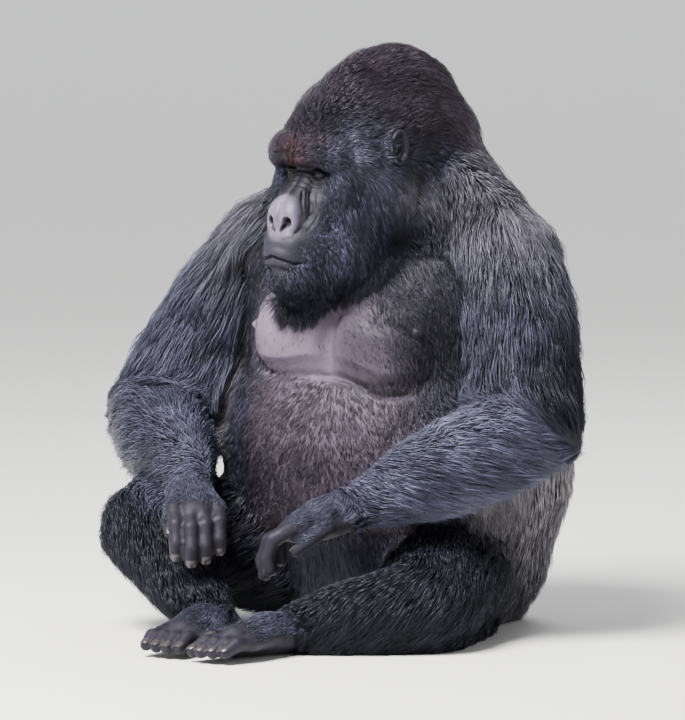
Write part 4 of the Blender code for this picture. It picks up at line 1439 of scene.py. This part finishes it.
class SILVERBACK_OT_nails(bpy.types.Operator):
    """Make a nail on every finger and toe"""
    bl_idname = "silverback.nails"
    bl_label = "Nails"

    def execute(self, context):
        settings = context.scene.silverback_nails
        nodes = Nodes("dark_horn")
        nodes.shader.inputs["Base Color"].default_value = (*settings.colour, 1.0)
        grain = nodes.add("ShaderNodeTexNoise", Scale=400.0, Detail=2.0)
        bump = nodes.add("ShaderNodeBump", Strength=0.25, Distance=0.0004)
        nodes.link(grain.outputs["Fac"], bump.inputs["Height"])
        nodes.link(bump.outputs["Normal"], nodes.shader.inputs["Normal"])
        nodes.shader.inputs["Roughness"].default_value = 0.28
        for side in SIDES:
            for kind, (_, digits), start, end in (("hand_", hand_bars(side), WRIST, KNUCKLES),
                                                  ("foot_", foot_bars(side), ANKLE, TOES)):
                bm = bmesh.new()
                ahead = (end[side] - start[side]).normalized()
                top = (UP - UP.dot(ahead) * ahead).normalized()
                for digit in digits:
                    base = Vector(digit[-2][:3])
                    tip = Vector(digit[-1][:3])
                    run = (tip - base).normalized()
                    back = top if kind == "foot_" else (top * 0.6 + ahead * 0.8)
                    if abs(run.dot(back.normalized())) > 0.9:
                        back = ahead
                    nail_plate(bm, base, tip, back, digit[-1][3], settings.length)
                bmesh.ops.recalc_face_normals(bm, faces=bm.faces)
                mesh = mesh_from(bm, "nails_" + kind + side)
                mesh.set_sharp_from_angle(angle=math.radians(50.0))
                mesh.materials.append(nodes.material)
                new_piece("nails_" + kind + side, mesh, "nail")
        return {"FINISHED"}


# ---------------------------------------------------------------- the coat
def head_part(low, high):
    """The haired head between two heights above the ears' middle."""
    def chosen(points, names):
        above = in_head(points)[:, 2]
        return (names == "head") & (above >= low) & (above < high)
    return chosen


def node_part(*wanted):
    """What the named nodes cover."""
    def chosen(_, names):
        return np.isin(names, wanted)
    return chosen


def trunk_part(front, *wanted):
    """The front or the back of the named nodes."""
    def chosen(points, names):
        ahead = in_trunk(points)[:, 1] < -0.03
        return np.isin(names, wanted) & (ahead if front else ~ahead)
    return chosen


def head_axis():
    """An upright line through the head, to unroll its coat round."""
    return HEAD_AT - 0.4 * UP, HEAD_AT + 0.3 * UP


def trunk_axis():
    """An upright line through the trunk, to unroll its coat round."""
    return planned(0.0, 0.03, 0.0), planned(0.0, 0.03, 1.0)


class Growth:
    """How one piece of the coat grows."""

    def __init__(self, name, chosen, locks, axis, **manner):
        self.name = name
        self.chosen = chosen
        self.locks = locks
        self.axis = axis
        self.spans = manner.get("spans", 2)
        self.width = manner.get("width", 0.0020)
        self.lift = manner.get("lift", 0.30)
        self.loose = manner.get("loose", 0.10)
        self.gather = manner.get("gather", 0.30)
        self.clump = manner.get("clump", 9)
        self.slot = manner.get("slot", "coat")
        self.streak = manner.get("streak", 0.42)


def growths():
    """Every piece of the coat."""
    head = {"width": 0.0013, "lift": 0.32, "gather": 0.30, "streak": 0.40}
    cheek = {"width": 0.0014, "lift": 0.24, "gather": 0.45, "loose": 0.18, "streak": 0.62}
    back = {"width": 0.0021, "gather": 0.45, "clump": 10}
    found = [
        Growth("coat_crown", head_part(0.035, 1.0), 20000, head_axis(), **head),
        Growth("coat_temples", head_part(-0.085, 0.035), 20500, head_axis(), **head),
        Growth("coat_cheeks", head_part(-1.0, -0.085), 24000, head_axis(), **cheek),
        Growth("coat_neck", node_part("neck"), 10000, trunk_axis(), loose=0.20, streak=0.25, **back),
        Growth("coat_breast", trunk_part(True, "chest"), 9500, trunk_axis(), width=0.0011, lift=0.12,
               streak=0.25),
        Growth("coat_belly", trunk_part(True, "belly", "hips"), 22000, trunk_axis(), width=0.0012,
               lift=0.14, gather=0.30, slot="saddle", streak=0.22),
        Growth("coat_mantle", trunk_part(False, "chest"), 10000, trunk_axis(), loose=0.15, **back),
        Growth("coat_saddle", trunk_part(False, "belly", "hips"), 13500, trunk_axis(), slot="saddle", **back),
    ]
    for side in SIDES:
        found += [
            Growth("coat_upper_arm_" + side, node_part("upper_arm_" + side), 12000,
                   (SHOULDER[side], ELBOW[side]), loose=0.40, spans=3, width=0.0019, gather=0.60, clump=14),
            Growth("coat_forearm_" + side, node_part("forearm_" + side), 14500,
                   (ELBOW[side], WRIST[side]), loose=0.35, width=0.0018, gather=0.50, clump=12),
            Growth("coat_thigh_" + side, node_part("thigh_" + side), 8000,
                   (HIP[side], KNEE[side]), loose=0.25, **back),
            Growth("coat_shin_" + side, node_part("shin_" + side), 8000,
                   (KNEE[side], ANKLE[side]), loose=0.30, **back),
            Growth("coat_hand_" + side, node_part("hand_" + side), 3200,
                   (WRIST[side], KNUCKLES[side]), width=0.0012, lift=0.15),
            Growth("coat_foot_" + side, node_part("foot_" + side), 2600,
                   (ANKLE[side], TOES[side]), width=0.0012, lift=0.15),
        ]
    return found


class Pelt:
    """The skin, ready to be grown on: its triangles with their fields, and a tree for nearest points."""

    def __init__(self, mesh):
        self.points, self.triangles = mesh_arrays(mesh)
        self.normals = vertex_normals(mesh)
        self.names = np.array(FLESH)[np.rint(stored(mesh, "region")).astype(int)]
        self.fields = {key: stored(mesh, key) for key in ("lie", "length", "cover", "tone")}
        self.fields["normal"] = self.normals
        corners = self.points[self.triangles]
        self.areas = 0.5 * np.linalg.norm(
            np.cross(corners[:, 1] - corners[:, 0], corners[:, 2] - corners[:, 0]), axis=1)
        self.tree = BVHTree.FromPolygons(self.points.tolist(), self.triangles.tolist())
        self.face_lie = unit(self.fields["lie"][self.triangles].mean(axis=1))
        self.face_normal = unit(self.normals[self.triangles].mean(axis=1))

    def scattered(self, growth, count, random):
        """Roots spread over a growth's skin, thickest where the cover is full."""
        chosen = growth.chosen(self.points, self.names)
        weight = self.areas * self.fields["cover"][self.triangles].mean(axis=1)
        weight *= chosen[self.triangles].sum(axis=1) >= 2
        picks = np.searchsorted(np.cumsum(weight), random.random(count) * weight.sum())
        picks = np.minimum(picks, len(weight) - 1)
        a = np.sqrt(random.random(count))[:, None]
        b = random.random(count)[:, None]
        shares = np.concatenate([1.0 - a, a * (1.0 - b), a * b], axis=1)
        corners = self.triangles[picks]
        values = {key: np.einsum("nk,nk...->n...", shares, field[corners])
                  for key, field in self.fields.items()}
        values["root"] = np.einsum("nk,nkd->nd", shares, self.points[corners])
        return values

    def nearest(self, points):
        """The skin's nearest points, with the lie and normal there."""
        find = self.tree.find_nearest
        hits = [find(p) for p in points.tolist()]
        index = np.array([hit[2] for hit in hits])
        place = np.array([hit[0] for hit in hits])
        return place, self.face_lie[index], self.face_normal[index]


# How far along its length a lock has its rings.
STATIONS = {2: (0.0, 0.36, 1.0), 3: (0.0, 0.24, 0.60, 1.0), 4: (0.0, 0.18, 0.44, 0.72, 1.0)}


def lock_paths(pelt, growth, values, random):
    """The bend of every lock: its root, then one point for each span."""
    settings = bpy.context.scene.silverback_coat
    count = len(values["root"])
    normal = unit(values["normal"])
    root = values["root"]
    shaggy = 1.0 + 0.22 * lattice_noise(root, 18.0, 13)
    length = values["length"] * (0.68 + 0.6 * random.random(count)) * shaggy
    wander = settings.wave * (lattice_noise(root, 22.0, 11) + 0.7 * lattice_noise(root, 70.0, 12)
                              + 0.50 * random.standard_normal(count))
    lie = unit(values["lie"])
    side = np.cross(normal, lie)
    way = unit(lie * np.cos(wander)[:, None] + side * np.sin(wander)[:, None])
    points = [root - 0.0008 * normal]
    ground = root
    free = root.copy()
    lift = growth.lift * (0.6 + 0.8 * random.random(count)) * (1.0 + 0.30 * lattice_noise(root, 30.0, 14))
    lift *= np.clip(0.35 + length / 0.022, 0.5, 1.0)
    turn = np.sin(wander)[:, None]
    marks = STATIONS[growth.spans]
    for before, mark in zip(marks, marks[1:]):
        step = (length * (mark - before))[:, None]
        rise = (lift * length * (1.0 - (1.0 - mark) ** 2.2))[:, None]
        ground, lie_here, normal_here = pelt.nearest(ground + step * way)
        hugging = ground + rise * normal_here
        drop = np.array([0.0, 0.0, -0.30 - 0.45 * mark])
        free = free + step * unit(way + 0.45 * (1.0 - mark) * normal + drop)
        loose = growth.loose * mark
        points.append(hugging * (1.0 - loose) + free * loose)
        lie_here = unit(lie_here - rows_dot(lie_here, normal_here) * normal_here)
        way = unit(lie_here + turn * np.cross(normal_here, lie_here))
    return np.stack(points, axis=1), normal


def gathered(paths, growth, random):
    """Draws the tips of neighbouring locks together."""
    roots = paths[:, 0]
    leaders = random.permutation(len(roots))[:max(1, len(roots) // growth.clump)]
    tree = KDTree(len(leaders))
    for index, leader in enumerate(leaders.tolist()):
        tree.insert(roots[leader], index)
    tree.balance()
    nearest = np.array([tree.find(p)[1] for p in roots.tolist()])
    lead = paths[leaders[nearest]]
    marks = STATIONS[growth.spans]
    for span in range(1, growth.spans + 1):
        pull = growth.gather * marks[span] ** 1.4
        target = lead[:, span] + 0.25 * (roots - lead[:, 0])
        paths[:, span] += pull * (target - paths[:, span])
    return paths


def unrolled(points, axis):
    """Places unrolled round an axis: the angle, and how far along, both from 0 to 1."""
    start = np.array(axis[0])
    along = np.array(axis[1]) - start
    size = np.linalg.norm(along)
    along = along / size
    helper = np.array([0.0, -1.0, 0.0]) if abs(along[1]) < 0.8 else np.array([1.0, 0.0, 0.0])
    first = unit(np.cross(along, helper)[None])[0]
    second = np.cross(along, first)
    q = points - start
    height = q @ along
    angle = np.arctan2(q @ second, q @ first) / math.tau + 0.5
    height = (height - height.min()) / max(np.ptp(height), 1e-6)
    return np.stack([0.02 + 0.96 * angle, 0.02 + 0.96 * height], axis=1)


# How wide a lock's patch of the map is, the whole map being 1.
LOCK_PATCH = 0.003


def lock_faces(spans):
    """The triangles of one lock: a root, rings of three corners and a tip."""
    around = ((0, 1), (1, 2), (2, 0))
    tip = 3 * spans - 2
    faces = [(0, 1 + b, 1 + a) for a, b in around]
    for low in range(1, tip - 3, 3):
        for a, b in around:
            faces += [(low + a, low + b, low + 3 + b), (low + a, low + 3 + b, low + 3 + a)]
    faces += [(tip - 3 + a, tip - 3 + b, tip) for a, b in around]
    return np.array(faces)[:, ::-1]


def triangle_mesh(name, vertices, triangles):
    """A mesh from rows of places and rows of three vertices."""
    mesh = bpy.data.meshes.new(name)
    mesh.vertices.add(len(vertices))
    mesh.vertices.foreach_set("co", vertices.astype(np.float32).ravel())
    mesh.loops.add(triangles.size)
    mesh.loops.foreach_set("vertex_index", triangles.astype(np.int32).ravel())
    mesh.polygons.add(len(triangles))
    mesh.polygons.foreach_set("loop_start", np.arange(0, triangles.size, 3, dtype=np.int32))
    mesh.update(calc_edges=True)
    return mesh


def lock_mesh(name, paths, normal, width, tone, map_places):
    """Three-sided closed locks that taper to a point, with a small map patch each."""
    count, stations, _ = paths.shape
    spans = stations - 1
    marks = np.array(STATIONS[spans])
    along = unit(paths[:, 2:] - paths[:, :-2])
    side = unit(np.cross(normal[:, None], along))
    over = np.cross(along, side)
    taper = np.interp(marks, (0.0, 0.30, 0.65, 1.0), (0.70, 1.0, 0.72, 0.0))
    vertices = [paths[:, 0]]
    for ring in range(1, spans):
        half = 0.5 * width[:, None] * taper[ring]
        middle = paths[:, ring]
        vertices += [middle - half * side[:, ring - 1] - 0.2 * half * over[:, ring - 1],
                     middle + half * side[:, ring - 1] - 0.2 * half * over[:, ring - 1],
                     middle + 0.7 * half * over[:, ring - 1]]
    vertices = np.stack(vertices + [paths[:, -1]], axis=1)
    per_lock = vertices.shape[1]
    first = (np.arange(count) * per_lock)[:, None, None]
    triangles = (lock_faces(spans)[None] + first).reshape(-1, 3)
    mesh = triangle_mesh(name, vertices.reshape(-1, 3), triangles)

    station = np.concatenate([[0.0], np.repeat(marks[1:-1], 3), [1.0]])
    corner = np.array([1, *[0, 1, 2] * (spans - 1), 1]) / 2.0
    patches = np.stack([corner, station], axis=1) * LOCK_PATCH
    uv = (map_places[:, None] + patches[None]).reshape(-1, 2)[triangles.ravel()]
    layer = mesh.uv_layers.new(name="OFBake")
    layer.data.foreach_set("uv", uv.astype(np.float32).ravel())

    # painted shade darkens each lock at its root, and a painted highlight lightens its tip
    shade = np.interp(station, (0.0, 0.35, 1.0), (0.08, 0.75, 1.45))
    colour = tone[:, None, :3] * shade[None, :, None]
    colour = np.concatenate([colour, np.ones((count, per_lock, 1))], axis=2).reshape(-1, 4)
    store(mesh, "tint", np.clip(colour, 0.0, 1.0))
    mesh.shade_smooth()
    return mesh


def coat_material():
    """Hair that shines softly along the lock."""
    nodes = Nodes("gorilla_hair")
    shader = nodes.shader
    nodes.link(painted(nodes, "tint"), shader.inputs["Base Color"])
    shader.inputs["Roughness"].default_value = 0.40
    shader.inputs["Specular IOR Level"].default_value = 0.32
    shader.inputs["Specular Tint"].default_value = (0.80, 0.83, 1.0, 1.0)
    return nodes.material


def grow(growth, pelt, material, seed):
    """One piece of the coat."""
    random = np.random.default_rng(seed)
    count = max(12, int(growth.locks * bpy.context.scene.silverback_coat.fullness))
    values = pelt.scattered(growth, count, random)
    paths, normal = lock_paths(pelt, growth, values, random)
    paths = gathered(paths, growth, random)
    paths[:, 1:, 2] = np.maximum(paths[:, 1:, 2], HAIR_LEAST_HEIGHT)
    width = growth.width * (0.65 + 0.7 * random.random(count))
    width *= np.clip(values["length"] / 0.012, 0.35, 1.0)
    bright = np.exp(growth.streak * random.standard_normal(count)
                    + 0.40 * lattice_noise(values["root"], 28.0, 21)
                    + 0.35 * lattice_noise(values["root"], 90.0, 22) - 0.10)
    tone = values["tone"] * bright[:, None]
    mesh = lock_mesh(growth.name, paths, normal, width, tone, unrolled(values["root"], growth.axis))
    mesh.materials.append(material)
    new_piece(growth.name, mesh, growth.slot)


class CoatOperator:
    """Grows the coat pieces whose names hold one of the operator's words."""
    words = ()

    def execute(self, context):
        skin = bpy.data.objects.get("skin")
        if skin is None:
            raise RuntimeError("the coat grows on the skin, so make the skin first")
        pelt = Pelt(skin.data)
        material = bpy.data.materials.get("gorilla_hair") or coat_material()
        for seed, growth in enumerate(growths(), start=1):
            if any(word in growth.name for word in self.words):
                grow(growth, pelt, material, seed)
        return {"FINISHED"}


class SILVERBACK_OT_coat_head(CoatOperator, bpy.types.Operator):
    """Grow the hair of crown, temples, cheeks and neck"""
    bl_idname = "silverback.coat_head"
    bl_label = "Coat: Head and Neck"
    words = ("crown", "temples", "cheeks", "neck")


class SILVERBACK_OT_coat_trunk(CoatOperator, bpy.types.Operator):
    """Grow the hair of breast, belly, mantle and saddle"""
    bl_idname = "silverback.coat_trunk"
    bl_label = "Coat: Trunk"
    words = ("breast", "belly", "mantle", "saddle")


class SILVERBACK_OT_coat_limbs(CoatOperator, bpy.types.Operator):
    """Grow the hair of arms, legs, hands and feet"""
    bl_idname = "silverback.coat_limbs"
    bl_label = "Coat: Limbs"
    words = ("arm", "thigh", "shin", "hand", "foot")


# ---------------------------------------------------------------- floor, light and camera
def soft_light(name, power, size, place, aim, colour):
    """A large square light that looks at a place."""
    light = bpy.data.lights.new(name, "AREA")
    light.energy = power
    light.size = size
    light.color = colour
    obj = bpy.data.objects.new(name, light)
    bpy.context.scene.collection.objects.link(obj)
    obj.location = place
    obj.rotation_euler = (aim - place).to_track_quat("-Z", "Y").to_euler()


def add_floor(settings):
    """A pale floor that curves up all round, far out."""
    bm = bmesh.new()
    sides = 96
    rings = []
    flat = [(0.6 * 1.17 ** k, 0.0) for k in range(28)]
    for radius, height in flat + [(48.0, 1.0), (54.0, 5.0), (58.0, 14.0), (60.0, 30.0)]:
        rings.append([bm.verts.new((radius * math.cos(math.tau * k / sides),
                                    radius * math.sin(math.tau * k / sides), height)) for k in range(sides)])
    bm.faces.new(rings[0])
    for low, high in zip(rings, rings[1:]):
        for k in range(sides):
            bm.faces.new((low[k], high[k], high[(k + 1) % sides], low[(k + 1) % sides]))
    bmesh.ops.recalc_face_normals(bm, faces=bm.faces)
    mesh = mesh_from(bm, "floor")
    points, _ = mesh_arrays(mesh)
    far = step_up(np.log(np.hypot(points[:, 0], points[:, 1]) + 1e-6), math.log(1.5), math.log(26.0))
    store(mesh, "glow", np.stack([0.62 * far, 0.63 * far, 0.64 * far, np.ones(len(far))], axis=1))
    nodes = Nodes("pale_floor")
    nodes.shader.inputs["Base Color"].default_value = (*settings.floor, 1.0)
    nodes.shader.inputs["Roughness"].default_value = 0.9
    nodes.shader.inputs["Emission Strength"].default_value = 1.0
    nodes.link(painted(nodes, "glow"), nodes.shader.inputs["Emission Color"])
    mesh.materials.append(nodes.material)
    obj = bpy.data.objects.new("floor", mesh)
    bpy.context.scene.collection.objects.link(obj)


class SILVERBACK_OT_stage(bpy.types.Operator):
    """Set the camera, the floor and the lights"""
    bl_idname = "silverback.stage"
    bl_label = "Stage"

    def execute(self, context):
        settings = context.scene.silverback_stage
        azimuth = settings.azimuth
        elevation = settings.elevation
        right = Vector((math.cos(azimuth), math.sin(azimuth), 0.0))
        toward = Vector((math.sin(azimuth) * math.cos(elevation), -math.cos(azimuth) * math.cos(elevation),
                         math.sin(elevation)))
        over = toward.cross(right)
        aim = TRUNK_AT + right * settings.aim_right + over * settings.aim_up
        camera = bpy.data.cameras.new("camera")
        camera.sensor_width = 36.0
        camera.lens = camera.sensor_width * settings.distance / settings.frame_height
        camera.clip_end = 400.0
        view = bpy.data.objects.new("camera", camera)
        context.scene.collection.objects.link(view)
        view.location = aim + toward * settings.distance
        view.rotation_euler = (-toward).to_track_quat("-Z", "Y").to_euler()
        context.scene.camera = view

        add_floor(settings)
        middle = planned(0.0, -0.1, 0.6)
        ground = Vector((toward.x, toward.y, 0.0)).normalized()
        soft_light("key", settings.key, 2.4, middle - right * 1.9 + ground * 2.1 + UP * 3.5, middle,
                   (1.0, 0.985, 0.96))
        soft_light("fill", settings.fill, 3.0, middle + right * 3.0 + ground * 2.4 + UP * 0.9, middle,
                   (0.93, 0.96, 1.0))
        soft_light("rim", settings.rim, 2.2, middle + right * 0.8 - ground * 2.8 + UP * 2.8, middle,
                   (0.95, 0.97, 1.0))
        world = bpy.data.worlds.new("sky")
        world.use_nodes = True
        background = world.node_tree.nodes["Background"]
        background.inputs["Color"].default_value = (0.93, 0.95, 1.0, 1.0)
        background.inputs["Strength"].default_value = settings.sky
        context.scene.world = world
        return {"FINISHED"}


# ---------------------------------------------------------------- add-on
OPERATORS = (SILVERBACK_OT_stage, SILVERBACK_OT_skin, SILVERBACK_OT_eyes, SILVERBACK_OT_nails,
             SILVERBACK_OT_coat_head, SILVERBACK_OT_coat_trunk, SILVERBACK_OT_coat_limbs)


class SILVERBACK_PT_panel(bpy.types.Panel):
    """Lists the pieces and their settings"""
    bl_idname = "SILVERBACK_PT_panel"
    bl_label = "Silverback"
    bl_space_type = "VIEW_3D"
    bl_region_type = "UI"
    bl_category = "Silverback"

    def draw(self, context):
        for name, group in SETTINGS.items():
            box = self.layout.box()
            box.label(text=group.__doc__)
            for key in group.__annotations__:
                box.prop(getattr(context.scene, name), key)
        for operator in OPERATORS:
            self.layout.operator(operator.bl_idname)


CLASSES = (*SETTINGS.values(), *OPERATORS, SILVERBACK_PT_panel)


def register():
    """Adds the classes and their settings."""
    for cls in CLASSES:
        bpy.utils.register_class(cls)
    for name, group in SETTINGS.items():
        setattr(bpy.types.Scene, name, PointerProperty(type=group))


def unregister():
    """Takes the classes and their settings away again."""
    for name in SETTINGS:
        delattr(bpy.types.Scene, name)
    for cls in reversed(CLASSES):
        bpy.utils.unregister_class(cls)


def main():
    """Registers the add-on and makes every piece."""
    register()
    bpy.ops.silverback.stage()
    bpy.ops.silverback.skin()
    bpy.ops.silverback.eyes()
    bpy.ops.silverback.nails()
    bpy.ops.silverback.coat_head()
    bpy.ops.silverback.coat_trunk()
    bpy.ops.silverback.coat_limbs()


if __name__ == "__main__":
    main()
